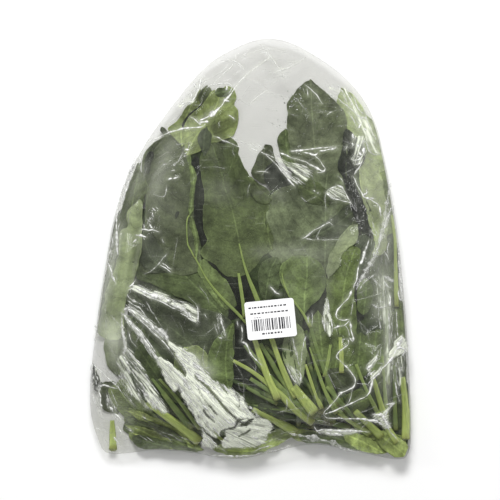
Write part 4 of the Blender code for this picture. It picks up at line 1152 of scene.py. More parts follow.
    ([(-40, -146, 0.8), (-37, -151, 1.1), (-32, -156, 1.2), (-27, -161, 1.1), (-20, -167, 0.7)], 0.8, 0.95),
    # the left corner at the foot
    ([(-124, -114, 1.3), (-122, -112.2, 1.7), (-119, -111.5, 1.7), (-114, -113, 1.1), (-108, -114, 0.8)], 1.0, 0.9),
    ([(-108, -113.5, 0.9), (-110, -111, 1.1), (-113, -108.5, 0.9), (-118, -104.5, 0.9), (-121, -102, 0.9)], 0.8, 0.8),
    ([(-124, -113.5, 1.2), (-123.5, -117, 1.4), (-123, -121, 1.4), (-122.5, -127, 1.7), (-122, -131, 1.5),
      (-123.5, -134, 1.2), (-122.5, -138, 1.5)], 1.0, 0.85),
    ([(-130, -95, 0.8), (-126, -97.5, 1.3), (-123, -100, 1.0), (-121, -102, 0.8)], 0.6, 0.6),
    ([(-130.5, -119, 1.2), (-129, -123, 1.4), (-126, -128, 1.0), (-124, -131, 0.8)], 0.6, 0.5),
    ([(-126, -104, 0.8), (-125, -107, 1.2), (-124, -108.5, 0.7)], 0.4, 0.55),
    ([(-117, -121, 0.8), (-115.7, -127, 1.1), (-116, -129, 1.0)], 0.5, 0.5),
    ([(-115.5, -129.3, 1.0), (-113.5, -131, 2.2), (-112, -131.8, 0.9)], 0.5, 1.0),
    ([(-111.5, -134.5, 1.2), (-109, -137, 1.8), (-107, -139, 1.2), (-104.7, -141.8, 0.8)], 0.5, 0.75),
    ([(-108.7, -146, 1.2), (-107, -149, 1.3), (-105, -152.7, 0.9)], 0.5, 1.0),
    ([(-112, -154.5, 1.4), (-110.5, -157, 1.8), (-108.3, -160, 0.8)], 0.5, 0.85),
    ([(-99, -148.2, 0.9), (-96.7, -149.6, 0.8)], 0.3, 0.95),
    ([(-88, -136.8, 1.0), (-86.5, -138, 1.4), (-84.7, -139.3, 0.7)], 0.4, 0.9),
    ([(-129, -148, 0.9), (-125.5, -148, 1.1), (-122, -149.5, 0.7)], 0.4, 0.8),
    ([(-118, -167, 0.6), (-112, -168, 0.8), (-105, -168, 0.9)], 0.3, 0.6),
    # the folds along the left and right rims
    ([(-93, 75, 1.0), (-97, 64, 2.4), (-101, 52, 2.6), (-104, 42, 2.2), (-106.5, 35, 1.2)], 1.2, 0.62),
    ([(-94, 76, 0.8), (-99, 64, 1.1), (-104, 50, 1.1), (-108, 38, 1.1), (-109.3, 28, 2.2), (-109.3, 15, 2.0),
      (-109, 2, 2.2), (-108.5, -5, 1.0)], 1.0, 0.62),
    ([(-90, 79, 1.0), (-90.5, 72, 1.4), (-91, 66, 0.9)], 0.8, 0.5),
    ([(-112, 12, 0.8), (-114, 0, 1.4), (-118, -14, 1.2), (-121, -30, 0.8)], 0.8, 0.5),
    ([(-116.5, -11, 1.2), (-114, -18, 2.4), (-111.5, -25, 1.5), (-109.5, -29, 0.8)], 0.8, 0.7),
    ([(-128, -62, 0.8), (-127, -70, 1.2), (-128, -78, 0.8)], 0.5, 0.4),
    ([(121.5, 2, 1.0), (122.5, -14, 2.0), (123.6, -28, 2.4), (124.2, -38, 1.8)], 0.6, 0.5),
    ([(121, -34, 2.0), (121.3, -38, 1.6), (123, -42, 1.5), (125, -41, 1.0)], 0.6, 0.7),
    ([(113.4, -37, 1.0), (114, -42, 2.2), (113.5, -47.5, 1.1)], 0.8, 0.95),
    ([(112.5, -52, 1.0), (113, -60, 1.7), (113.5, -70, 1.7), (113, -82, 1.4)], 0.6, 0.32),
    ([(119, -50, 0.7), (119.5, -60, 1.0), (120.5, -72, 0.8)], 0.5, 0.5),
    ([(99, -24, 0.7), (103, -28, 0.9), (107, -32.5, 0.6)], 0.5, 0.5),
    ([(108, -25, 0.7), (110.5, -29.5, 1.1), (113, -32, 1.2), (115, -31, 0.7)], 0.5, 0.65),
    ([(108, -22, 1.6), (113, -25, 3.2), (118, -27, 2.0)], 0.5, 0.33),
    ([(98, -45, 1.4), (103, -48, 2.6), (108, -48, 2.2), (112, -46, 1.0)], 0.5, 0.33),
    ([(105, -41, 0.6), (106.5, -45, 0.9), (107.5, -48, 0.6)], 0.3, 0.6),
    ([(114, 8, 0.6), (112, 0, 0.9), (112.5, -8, 0.6)], 0.4, 0.45),
    ([(108, -1, 0.6), (111, -5, 0.8), (113, -10, 0.6)], 0.3, 0.5),
    ([(51, 47, 0.9), (52.5, 46, 1.1)], 0.3, 0.6),
    ([(54, 45.2, 1.4), (55.3, 44.7, 1.3)], 0.3, 0.75),
    ([(41, 42, 0.6), (45, 38, 1.1), (49, 40, 1.0), (54, 42, 0.6)], 0.4, 0.25),
]

# Silvery patches, silvery from painted glints on crinkled film: outline, the point that its crinkles fan out from,
# their height, how white the film is there, how many bright streaks lie in it, and how long and how wide the largest
# is.
CRUMPLES = [
    # two lobes of gathered film and the broad pale area below them
    ([(-70, -69), (-66, -73), (-60, -77), (-50, -83), (-43, -88), (-39, -97), (-33, -103), (-26, -109), (-15, -114),
      (-6, -120), (-1, -128), (4, -138), (-5, -142.5), (-12, -145), (-20, -149.5), (-28, -154.5), (-36, -151), (-43, -141),
      (-50, -128), (-55, -120), (-58, -112), (-62, -116), (-70, -108), (-72, -98), (-76, -90), (-73, -87), (-66, -91),
      (-58, -99), (-52, -104), (-54, -96), (-60, -87), (-66, -79)], (-118, -36), 1.3, 0.84, 150, 30, 2.2),
    ([(-24, -145.5), (-13, -144.5), (-4, -144), (2, -138.5), (8, -136), (16, -141), (19, -147), (14, -152), (12, -160),
      (2, -163), (-10, -163), (-22, -165), (-24, -158), (-20, -153)], (-60, -130), 1.6, 0.74, 60, 9, 2.0),
    ([(-40, -146), (-36, -151), (-30, -157), (-25, -162), (-30, -164), (-40, -163)], (-60, -130), 0.8, 0.80, 12, 12, 2.4),
    ([(0, -128), (4, -130), (9, -136), (12, -141), (6, -143), (3, -137)], (-30, -100), 1.0, 0.42, 24, 8, 1.1),
    # the darker crinkled patch left of them
    ([(-101, -79), (-97, -82), (-92, -88), (-86, -96), (-82, -104), (-77, -113), (-72, -121), (-67, -131), (-70, -134),
      (-77, -131), (-82, -131), (-88, -128), (-94, -122), (-99, -117), (-104, -110), (-107, -103), (-108, -92),
      (-105, -84)], (-132, -52), 1.6, 0.46, 150, 11, 1.2),
    ([(-86, -112), (-80, -116), (-73, -122), (-66, -133), (-72, -133), (-80, -129), (-87, -122)], (-132, -52), 0.6, 0.70,
     30, 14, 1.8),
    ([(-103, -53), (-98, -56), (-92, -63), (-86, -71), (-80, -80), (-76, -88), (-80, -87), (-87, -76), (-94, -66),
      (-101, -60)], (-112, -40), 0.8, 0.34, 40, 26, 0.9),
    ([(-100, -46), (-92, -49), (-84, -55), (-76, -62), (-69, -69), (-72, -75), (-80, -66), (-90, -57)], (-112, -38), 0.8,
     0.36, 40, 28, 0.9),
    # the rib
    ([(-97, -29), (-90, -29), (-82, -33), (-72, -35), (-66, -38), (-56, -42), (-46, -46), (-42, -50), (-43, -60),
      (-50, -57), (-58, -50), (-68, -45), (-78, -42), (-88, -38), (-96, -34)], (-150, -8), 0.8, 0.50, 46, 14, 1.3),
    # the fan right of the notch
    ([(20, 74), (26, 74), (30, 70), (38, 70), (45, 68), (50, 63), (49, 59), (44, 54), (42, 52), (36, 52), (30, 58),
      (25, 65)], (4, 84), 1.0, 0.38, 60, 13, 1.0),
    ([(61, 45), (66, 49), (74, 50), (77, 46), (80, 39), (75, 40), (67, 41)], (52, 55), 0.8, 0.44, 34, 9, 0.9),
    ([(58, -52), (60, -44), (62, -40), (64, -47), (66, -60), (66, -67), (64, -71), (61, -67), (58, -58)], (61, 0), 0.7,
     0.72, 16, 16, 1.6),
    # beside the dark gap
    ([(82, 90), (86, 93), (93, 92), (95, 86), (94, 77), (91, 70), (85, 66), (82, 72), (85, 80)], (76, 40), 1.1, 0.34,
     26, 4.5, 0.8),
    ([(78, 62), (84, 64), (88, 50), (90, 36), (94, 24), (92, 12), (86, 26), (82, 42), (77, 54)], (80, 90), 0.8, 0.06,
     46, 2.2, 0.8),
    # pale hazy film at the top right rim and down the right side
    ([(60, 134), (78, 132), (92, 112), (104, 92), (110, 76), (96, 80), (94, 92), (88, 100), (82, 112), (72, 126)],
     (40, 210), 0.9, 0.34, 34, 14, 0.8),
    ([(110, -46), (118, -48), (121, -74), (116, -108), (112, -126), (108, -110), (110, -80)], (112, 60), 0.8, 0.24,
     8, 14, 0.6),
    ([(98, -22), (112, -22), (116, -34), (114, -60), (106, -66), (100, -56), (103, -40)], (104, 30), 0.8, 0.20, 18, 9, 0.6),
    ([(94, 30), (104, 24), (106, 8), (100, -4), (96, 8), (97, 20)], (110, 60), 0.5, 0.10, 22, 5, 0.7),
    ([(100, -133), (107, -133), (114, -126), (118, -125), (112, -134), (116, -148), (111, -148), (105, -142),
      (99, -138)], (80, -150), 1.0, 0.60, 24, 9, 1.4),
    ([(112, -96), (120, -88), (127, -86), (126, -98), (122, -112), (117, -108)], (118, -60), 0.8, 0.34, 30, 7, 0.8),
    ([(114, -82), (118, -75), (123, -71), (127, -74), (129.5, -82), (126, -87), (121, -87), (116, -90), (113, -88)],
     (150, -50), 1.0, 0.88, 24, 7, 1.8),
    ([(94.5, -92), (99, -89), (103, -86), (103, -91), (99, -97), (96, -103), (94, -98)], (120, -70), 0.8, 0.60, 20, 8, 1.4),
    ([(98, -101), (104, -97), (110, -92), (112, -94), (105, -101), (100, -106), (98, -112), (96, -108)], (140, -60), 0.8,
     0.56, 18, 8, 1.3),
    ([(29, -93), (34, -95), (39, -100), (41.5, -106), (40, -112), (36, -110), (32, -103)], (22, -76), 0.9, 0.42, 16, 7, 1.1),
    ([(56, -150), (60, -147), (80, -147), (92, -149), (76, -153), (64, -153)], (20, -146), 0.8, 0.74, 16, 14, 1.4),
    ([(8, 150), (20, 158), (32, 153), (35, 144), (22, 139), (11, 143)], (-50, 140), 0.9, 0.10, 12, 8, 0.8),
    # the left rim and corner
    ([(-96, 74), (-91, 72), (-99, 50), (-105, 34), (-108, 10), (-109, -8), (-116, -30), (-121, -44), (-119, -20),
      (-113, 8), (-107, 34)], (-60, 190), 0.9, 0.20, 22, 20, 0.7),
    ([(-62, 117), (-52, 128), (-40, 140), (-36, 140), (-42, 130), (-47, 120), (-56, 116)], (-110, 60), 0.8, 0.34, 26, 10,
     1.2),
    ([(-131, -94), (-126, -96), (-120, -103), (-122, -112), (-124, -126), (-122, -138), (-127, -130), (-131, -112)],
     (-128, -60), 1.0, 0.22, 44, 9, 1.1),
    ([(-119, -114), (-112, -118), (-108, -128), (-104, -142), (-110, -141), (-117, -130)], (-124, -90), 1.0, 0.20, 40, 8,
     1.2),
    ([(-110, -100), (-104, -108), (-96, -120), (-92, -128), (-98, -126), (-108, -114), (-114, -106)], (-140, -60), 0.6,
     0.10, 16, 16, 0.9),
    ([(-104, -142), (-96, -146), (-84, -150), (-70, -158), (-80, -160), (-96, -156)], (-130, -130), 0.6, 0.05, 8, 9, 0.6),
    ([(-30, -52), (-24, -52), (-19, -70), (-24, -74), (-28, -62)], (-34, -30), 0.6, 0.16, 16, 9, 0.8),
    ([(-82, 34), (-74, 34), (-72, 14), (-78, 12), (-88, 14), (-86, 26)], (-60, 50), 0.6, 0.05, 22, 4.5, 0.7),
    ([(-86, 88), (-60, 92), (-56, 76), (-62, 62), (-72, 60), (-80, 74)], (-96, 60), 0.5, 0.05, 8, 5, 0.6),
]

# Clear lines through the silvery patches, with their widths.
SLITS = [
    [(-45, -103, 0.8), (-42, -106.5, 1.2), (-38, -108.5, 0.8)],
    [(-39, -109, 0.8), (-35, -112, 1.6), (-30, -118, 1.7), (-25, -124, 1.5), (-20, -130, 1.2), (-15, -135, 1.0),
     (-11, -138, 1.0)],
    [(-42, -114, 0.7), (-38, -121, 1.3), (-34, -126, 1.4), (-30, -131, 1.5), (-27, -135, 1.0)],
    [(-38, -131, 0.8), (-36, -135, 1.3), (-32, -138, 1.0), (-29, -141, 0.8)],
    [(-50, -127, 0.8), (-45, -132, 1.3), (-40, -139, 1.4), (-36, -145, 1.4), (-30, -150, 1.5), (-23, -156, 1.2)],
    [(-24, -150, 1.0), (-20, -147.3, 1.2), (-13, -146.3, 1.4), (-11, -142, 1.6), (-10, -139, 1.2), (-4, -138.8, 1.0),
     (2, -139, 0.8)],
    [(-10, -140, 1.0), (-6, -142, 1.3), (-3, -144.5, 1.0)],
    [(-9, -153, 0.9), (-4, -150.5, 1.4), (0, -147.5, 0.9)],
    [(-36, -151, 0.8), (-32, -155, 1.0), (-27, -160, 1.0), (-24, -163.5, 0.8)],
    [(-70, -74, 0.7), (-66, -79, 0.8), (-61, -85, 0.7)],
    [(-25, -109, 0.8), (-21, -114, 1.0), (-18, -119, 0.7)],
    [(-12, -116, 0.7), (-9, -122, 1.0), (-9, -128, 0.8)],
    [(-66, -82, 2.0), (-62, -87, 4.0), (-57, -95, 5.0), (-53, -102, 3.0)],
    [(-98, -92, 1.0), (-95, -96, 1.3), (-93, -98, 0.8)],
    [(-97, -97, 0.9), (-96, -102, 1.4), (-95, -106, 1.6), (-93, -111, 1.4), (-91, -117, 0.8)],
    [(-106, -91, 0.8), (-104, -95, 1.2), (-101.5, -99.5, 0.9)],
    [(-108, -97, 0.6), (-106, -100.5, 0.9)],
    [(-88, -119, 0.9), (-85, -124, 1.6), (-81, -129, 1.3)],
    [(-92, -123, 0.7), (-88, -127, 1.0)],
    [(-91, -112, 0.6), (-88, -117, 0.8), (-86, -121, 0.6)],
    [(-104, -55, 1.0), (-101, -62, 1.2), (-100, -70, 1.0)],
    [(-99, -52, 0.7), (-94, -58, 1.2), (-89, -63, 1.0)],
    [(23, 76, 1.8), (27, 74, 2.6), (30, 72, 1.4), (40, 69, 0.8)],
    [(21, 70.5, 0.8), (25, 68.5, 1.8), (29, 67, 1.0)],
    [(29, 66, 1.0), (34, 61, 1.0), (40, 57, 0.8), (44, 53, 0.8)],
    [(61, -54, 0.7), (63, -58, 1.1), (65, -62, 0.8)],
    [(-66, -43.5, 1.6), (-64, -43.5, 1.6)],
    [(-63.5, -40, 0.7), (-58, -43, 0.9), (-52, -47.5, 0.8), (-48.5, -51, 0.8)],
]

# Soft veils of painted sheen on the film: middle, half length, half width, direction in degrees, strength.
SHEEN_VEILS = [
    ((-72, 66), 26, 7, 72, 0.16), ((108, -40), 22, 9, 85, 0.20), ((111, 0), 28, 7, 80, 0.14),
    ((99, 66), 36, 11, 96, 0.14), ((-113, -68), 10, 11, 80, 0.26), ((-115, -20), 44, 5, 76, 0.26),
    ((28, -3), 28, 6, 0, 0.09), ((-52, 92), 12, 8, 30, 0.08), ((-92, 55), 20, 6, 70, 0.12),
    ((-106, -132), 16, 8, -58, 0.10), ((111.5, -84), 42, 3.5, 90, 0.24), ((-26, 46), 10, 16, 80, 0.05),
    ((-110, -84), 14, 7, 90, 0.20), ((-41, -94), 15, 7, 135, 0.26), ((90, 106), 24, 9, 122, 0.20), ((103, 3), 38, 4, 70, 0.17),
]
CLING = 0.55  # how much of the leaves' relief shows in the film
WRINKLE_COUNT = 200
FILM_GAP = 0.5
FAN_REACH = 60.0  # millimetres across a patch for each radian round the point that its crinkles fan out from


def near_line(x, y, points):
    """Distance from each point to a line of points with widths, how far along the line, the width there and length."""
    line = np.array(points, float)
    lengths = np.linalg.norm(np.diff(line[:, :2], axis=0), axis=1)
    starts = np.concatenate([[0], np.cumsum(lengths)])
    best, along, width = np.full(np.shape(x), 1e9), np.zeros(np.shape(x)), np.zeros(np.shape(x))
    for a, b, length, start in zip(line, line[1:], lengths, starts):
        unit = (b - a)[:2] / length
        raw = (x - a[0]) * unit[0] + (y - a[1]) * unit[1]
        t = np.clip(raw, 0, length)
        distance = np.hypot(x - a[0] - t * unit[0], y - a[1] - t * unit[1])
        closer = distance < best
        best = np.where(closer, distance, best)
        along = np.where(closer, start + raw, along)
        width = np.where(closer, a[2] + (b - a)[2] * t / length, width)
    return best, along, width, starts[-1]


def slit_share(x, y):
    """1 away from the clear slits, 0 in them."""
    share = np.ones(np.shape(x))
    for points in SLITS:
        corners = np.array(points)
        near = ((x > corners[:, 0].min() - 5) & (x < corners[:, 0].max() + 5)
                & (y > corners[:, 1].min() - 5) & (y < corners[:, 1].max() + 5))
        if np.any(near):
            distance, _, width, _ = near_line(x[near], y[near], points)
            share[near] = np.minimum(share[near], smooth_step((distance - 0.45 * width) / 0.7))
    return share


def fanned(x, y, centre):
    """Distance from a fan's centre, and distance round it at FAN_REACH."""
    dx, dy = x - centre[0], y - centre[1]
    return np.hypot(dx, dy), np.arctan2(dy, dx) * FAN_REACH


FILLING_LIMITS = (-90, 80, -60, 110)  # few wrinkles lie in this part, where the film clings to broad leaves


def seeded_wrinkles(rng, count):
    """Short faint creases, drawn as faint white lines of whitening and painted glint: mostly lengthwise along the bag's
    sides and dome, and every way elsewhere.
    """
    rows = []
    while len(rows) < count:
        x, y = rng.uniform(-130, 130), rng.uniform(-170, 170)
        depth = look_up(DEPTH, x, y)
        if depth < 3 or label_offset(x, y) < 8:
            continue
        if FILLING_LIMITS[0] < x < FILLING_LIMITS[1] and FILLING_LIMITS[2] < y < FILLING_LIMITS[3] and depth > 30:
            if rng.uniform() < 0.6:
                continue
        side_turn = math.atan2(y + 20, x) + math.pi / 2
        turn = side_turn + rng.normal(0, 0.35) if depth < 26 else rng.uniform(0, math.pi)
        length, bend = rng.uniform(4, 26), rng.uniform(-0.25, 0.25)
        half = np.array([math.cos(turn), math.sin(turn)]) * length / 2
        middle = np.array([x, y]) + np.array([-half[1], half[0]]) * bend
        ends = np.array([x, y]) - half, middle, np.array([x, y]) + half
        if min(look_up(DEPTH, *end) for end in ends) < 1.5 or min(label_offset(*end) for end in ends) < 3:
            continue
        width = rng.uniform(0.5, 0.9)
        bright = rng.uniform(0.05, 0.22) if rng.uniform() < 0.93 else rng.uniform(0.4, 0.8)
        rows.append(([(*ends[0], width * 0.6), (*ends[1], width), (*ends[2], width * 0.6)], rng.uniform(0.2, 0.6), bright))
    return rows


def seeded_streaks(rng):
    """The painted glints of the silvery patches: bright streaks as lines with widths, and their whiteness."""
    rows = []
    for outline, centre, _, _, count, longest, widest in CRUMPLES:
        corners = np.array(outline, float)
        low, high = corners.min(axis=0), corners.max(axis=0)
        laid = 0
        while laid < count:
            spot = rng.uniform(low, high)
            if not inside_outline(outline, *spot):
                continue
            laid += 1
            heading = math.atan2(spot[1] - centre[1], spot[0] - centre[0]) + rng.normal(0, 0.09)
            length = longest * rng.uniform(0.3, 1.0)
            steps = np.linspace(-0.5, 0.5, max(5, int(length / 1.5)))[:, None]
            forward = np.array([math.cos(heading), math.sin(heading)])
            sideways = np.array([-forward[1], forward[0]])
            bow = rng.uniform(-0.06, 0.06) * length
            row = spot + forward * steps * length + sideways * bow * (1 - 4 * steps**2)
            inside = outline_depth(outline, row[:, 0], row[:, 1]) > -0.8
            middle = len(row) // 2
            first = middle - next((k for k in range(middle + 1) if not inside[middle - k]), middle)
            last = middle + next((k for k in range(len(row) - middle) if not inside[middle + k]), len(row) - 1 - middle)
            row = row[first:last + 1]
            if len(row) < 4:
                continue
            width = widest * rng.uniform(0.25, 1.0) ** 1.5
            swell = width * (0.45 + 0.55 * np.sin(math.pi * np.linspace(0, 1, len(row))))
            rows.append((np.column_stack([row, swell]), rng.uniform(0.15, 0.75)))
    return rows


def film_surface(heap, wrinkles):
    """Heights of the film's front; its haze with painted sheen; the painted glint strength of its silvery patches; and
    the grain of their crinkles.
    """
    x, y = FILM_POINTS[..., 0], FILM_POINTS[..., 1]
    z = FILM_POINTS[..., 2].copy()
    edge = smooth_step(look_up(DEPTH, x, y) / 7)
    relief = box_blur(heap.heights, 2.5) - box_blur(heap.heights, 15)
    detail = CLING * np.clip(look_up(relief, x, y), -1.6, 2.5)
    haze_and_sheen, crumple_glint = np.zeros_like(x), np.zeros_like(x)
    grain = np.stack([x, y, np.zeros_like(x)], axis=-1)
    for points, height, whitening_and_glint in CREASES + wrinkles:
        distance, along, width, length = near_line(x, y, points)
        fade = smooth_step(along / (0.25 * length)) * smooth_step((length - along) / (0.25 * length))
        detail += height * np.exp(-distance / (1.2 + height)) * np.maximum(fade, 0.15)
        haze_and_sheen = np.maximum(haze_and_sheen, 0.14 * whitening_and_glint * np.exp(-((distance / (0.5 * width + 1.0)) ** 2)))
    for outline, centre, height, whitening_and_glint, *_ in CRUMPLES:
        corners = np.array(outline, float)
        near = ((x > corners[:, 0].min() - 6) & (x < corners[:, 0].max() + 6)
                & (y > corners[:, 1].min() - 6) & (y < corners[:, 1].max() + 6))
        px, py = x[near], y[near]
        ragged = outline_depth(outline, px, py) + 1.2 * value_noise(px / 5, py / 5, 5)
        mask = smooth_step((ragged + 0.8) / 2.2)
        along, aside = fanned(px, py, centre)
        crinkle = ridged(along / 22, aside / 3.6, 3) * 0.6 + ridged(along / 12, aside / 2.4, 7) * 0.4
        detail[near] += mask * height * (crinkle - 0.3)
        stronger = mask * whitening_and_glint > crumple_glint[near]
        crumple_glint[near] = np.maximum(crumple_glint[near], mask * whitening_and_glint)
        local = np.stack([along, aside, np.full_like(px, centre[0])], axis=-1)
        grain[near] = np.where(stronger[..., None], local, grain[near])
    for (vx, vy), half_long, half_wide, turn, strength in SHEEN_VEILS:
        c, sn = math.cos(math.radians(turn)), math.sin(math.radians(turn))
        along, aside = (x - vx) * c + (y - vy) * sn, (y - vy) * c - (x - vx) * sn
        haze_and_sheen += strength * np.exp(-((along / half_long) ** 4) - (aside / half_wide) ** 2)
    clear = slit_share(x, y)
    haze_and_sheen, crumple_glint = haze_and_sheen * (0.4 + 0.6 * clear), crumple_glint * (0.35 + 0.65 * clear)
    detail += 0.14 * value_noise(x / 9, y / 9, 11) + 0.06 * value_noise(x / 4, y / 4, 12)
    on_label = 1 - smooth_step((label_offset(x, y) - 1.5) / 7)
    z += detail * edge * (1 - on_label)
    z = np.maximum(z, look_up(heap.heights, x, y) + FILM_GAP * np.minimum(1, look_up(DEPTH, x, y) / 3))
    flat = LABEL_PLANE[0] + LABEL_PLANE[1] * x + LABEL_PLANE[2] * y - 0.25
    z += (flat - z) * on_label
    z[0], z[-1], z[:, 0], z[:, -1] = (FILM_POINTS[k][..., 2] for k in (0, -1, (slice(None), 0), (slice(None), -1)))
    return z, haze_and_sheen, crumple_glint, grain


def film_faces():
    """Faces of the front, and of the back at half the front's fineness, sharing the rim's points."""
    front = np.arange(ROWS * COLUMNS).reshape(ROWS, COLUMNS)
    faces = grid_faces(ROWS, COLUMNS)
    back = front[::2, ::2].copy()
    inner = back[1:-1, 1:-1].shape
    back[1:-1, 1:-1] = ROWS * COLUMNS + np.arange(inner[0] * inner[1]).reshape(inner)
    last_row, last_column = back.shape[0] - 2, back.shape[1] - 2
    for j in range(last_row + 1):
        for i in range(last_column + 1):
            corners = [back[j, i], front[0, 2 * i + 1] if j == 0 else None, back[j, i + 1],
                       front[2 * j + 1, -1] if i == last_column else None, back[j + 1, i + 1],
                       front[-1, 2 * i + 1] if j == last_row else None, back[j + 1, i],
                       front[2 * j + 1, 0] if i == 0 else None]
            faces.append([int(corner) for corner in corners[::-1] if corner is not None])
    return faces


def back_heights(points):
    """Heights of the film's back: the CAD bag's, with soft folds that fade towards the floor."""
    tree = BVHTree.FromBMesh(BAG_MESH)
    heights = np.zeros(points.shape[:2])
    for j in range(points.shape[0]):
        for i in range(points.shape[1]):
            hit = tree.ray_cast(Vector((points[j, i, 0] * MM, points[j, i, 1] * MM, -1)), Vector((0, 0, 1)))[0]
            heights[j, i] = hit.z / MM if hit is not None else 0
    x, y = points[..., 0], points[..., 1]
    folds = 0.8 * ridged(x / 16, y / 16, 21) * smooth_step(heights / 4)
    return np.maximum(heights + folds, 0.02)


def make_film(heap, wrinkles):
    """The film as one closed skin. Returns it and a map of its front's heights."""
    z, haze_and_sheen, crumple_glint, grain = film_surface(heap, wrinkles)
    front = np.dstack([FILM_POINTS[..., 0], FILM_POINTS[..., 1], z])
    back = FILM_POINTS[::2, ::2][1:-1, 1:-1].copy()
    back[..., 2] = back_heights(back)
    points = np.vstack([front.reshape(-1, 3), back.reshape(-1, 3)]) * MM
    made = new_mesh_object("film", points, film_faces())
    count = back.shape[0] * back.shape[1]
    # Painted sheen and painted glint strengths, which mix a flat white into the film.
    set_attribute(made, "haze_and_sheen", "FLOAT", np.concatenate([haze_and_sheen.ravel(), np.zeros(count)]))
    set_attribute(made, "crumple_glint", "FLOAT", np.concatenate([crumple_glint.ravel(), np.zeros(count)]))
    set_attribute(made, "grain", "FLOAT_VECTOR", np.vstack([grain.reshape(-1, 3), back.reshape(-1, 3)]))
    return made, scatter_to_map(front, z)


def line_block(row, half, aside, film_map):
    """Points and faces of a low closed rod on the film: a row of points, half widths, and directions to its left."""
    count = len(row)
    corners = []
    for shift, lift in ((-1, 0.02), (1, 0.02), (0, 0.30)):
        place = row + aside * (half * shift)[:, None]
        height = look_up(film_map, place[:, 0], place[:, 1]) + lift
        corners.append(np.column_stack([place, height if shift else height + half * 0.25]))
    faces = [[0, 2, 1], [3 * count - 3, 3 * count - 2, 3 * count - 1]]
    for k in range(count - 1):
        for a, b in ((0, 1), (1, 2), (2, 0)):
            faces.append([3 * k + a, 3 * k + b, 3 * k + 3 + b, 3 * k + 3 + a])
    return np.stack(corners, axis=1).reshape(-1, 3), faces


def make_creases(film_map, wrinkles, streaks):
    """The white lines of the creases, partly whitening and partly painted glint, and the patches' painted bright
    streaks: thin, low rods along the film.
    """
    rng = np.random.default_rng(SEED + 1)
    pieces = Pieces()
    lines = [(points, whitening_and_glint, 0.35) for points, _, whitening_and_glint in CREASES + wrinkles]
    lines += [(points, whitening_and_glint, 0.15) for points, whitening_and_glint in streaks]
    for points, whitening_and_glint, wander in lines:
        points = np.array(points, float)
        length = np.linalg.norm(np.diff(points[:, :2], axis=0), axis=1).sum()
        row = smooth_row(points, max(5, int(length / 0.9)))
        row, width = row[:, :2], row[:, 2]
        share = np.linspace(0, 1, len(row))
        along = np.gradient(row, axis=0)
        aside = np.column_stack([-along[:, 1], along[:, 0]]) / np.linalg.norm(along, axis=1, keepdims=True)
        row = row + aside * (wander * value_noise(share * length / 4, share * 0, rng.integers(999)))[:, None]
        taper = np.minimum(1, np.sin(math.pi * np.clip(share, 0.02, 0.98)) * max(2.0, length / 6)) ** 0.6
        swell = value_noise(share * length / 2.2, share * 0 + 3, rng.integers(999))
        half = 0.5 * width * taper * np.clip(0.75 + 0.7 * swell, 0.3, 1.5)
        block, faces = line_block(row, np.maximum(half, 0.1), aside, film_map)
        strength = whitening_and_glint * taper * (0.9 + 0.2 * value_noise(share * length / 2.5, share * 0 + 9, rng.integers(999)))
        strength = np.clip(strength, 0, 1) * (0.15 + 0.85 * slit_share(row[:, 0], row[:, 1]))
        pieces.add(block, faces, whitening_and_glint=np.repeat(strength, 3)[:, None])
    return pieces.make("film_creases", {"whitening_and_glint": "FLOAT"})


# ---------------------------------------------------------------- drops and the label's print

DROP_SPOTS = [((81, 50), 6, 36, 0.45), ((91, 24), 5, 36, 0.45), ((79, 84), 5, 30, 0.45), ((56, 104), 13, 40, 0.45),
              ((82, -8), 8, 26, 0.45), ((102, -18), 9, 26, 0.45),
              ((38, 122), 9, 46, 0.9), ((24, 104), 10, 14, 0.6), ((70, 118), 12, 16, 0.6), ((-60, 60), 26, 14, 0.5),
              ((40, 60), 20, 14, 0.5)]


def drop_block(x, y, z, radius, sides=8, rings=3):
    """A flattened drop on the under side of the film."""
    turn = np.arange(sides) / sides * 2 * math.pi
    points = [np.array([[x, y, z - radius * 0.9]])]
    for ring in range(1, rings + 1):
        angle = math.pi * ring / (rings + 1)
        reach, height = radius * math.sin(angle), -radius * 0.9 * math.cos(angle)
        points.append(np.column_stack([x + reach * np.cos(turn), y + reach * np.sin(turn), np.full(sides, z + height)]))
    points.append(np.array([[x, y, z + radius * 0.9]]))
    top = 1 + rings * sides
    faces = []
    for k in range(sides):
        after = (k + 1) % sides
        faces.append([0, 1 + after, 1 + k])
        faces.append([top, top - sides + k, top - sides + after])
        for ring in range(rings - 1):
            a = 1 + ring * sides
            faces.append([a + k, a + after, a + sides + after, a + sides + k])
    return np.vstack(points), faces


def make_drops(film_map):
    rng = np.random.default_rng(SEED + 2)
    pieces = Pieces()
    for (x, y), spread, count, largest in DROP_SPOTS:
        for _ in range(count):
            place = np.array([x, y]) + rng.normal(0, spread / 2, 2)
            radius = largest * rng.uniform(0.35, 1.0)
            height = look_up(film_map, *place) - radius * 0.5
            points, faces = drop_block(*place, height, radius)
            pieces.add(points, faces)
    return pieces.make("drops", {})


def label_place(u, v, lift):
    """A point of the label from its middle: u to its right, v to its top, lift above its face."""
    c, s = math.cos(LABEL_TURN), math.sin(LABEL_TURN)
    x, y = LABEL_MIDDLE[0] + u * c - v * s, LABEL_MIDDLE[1] + u * s + v * c
    return x, y, LABEL_PLANE[0] + LABEL_PLANE[1] * x + LABEL_PLANE[2] * y + LABEL_THICKNESS + lift


LABEL_THICKNESS = 0.3
INK = 0.05


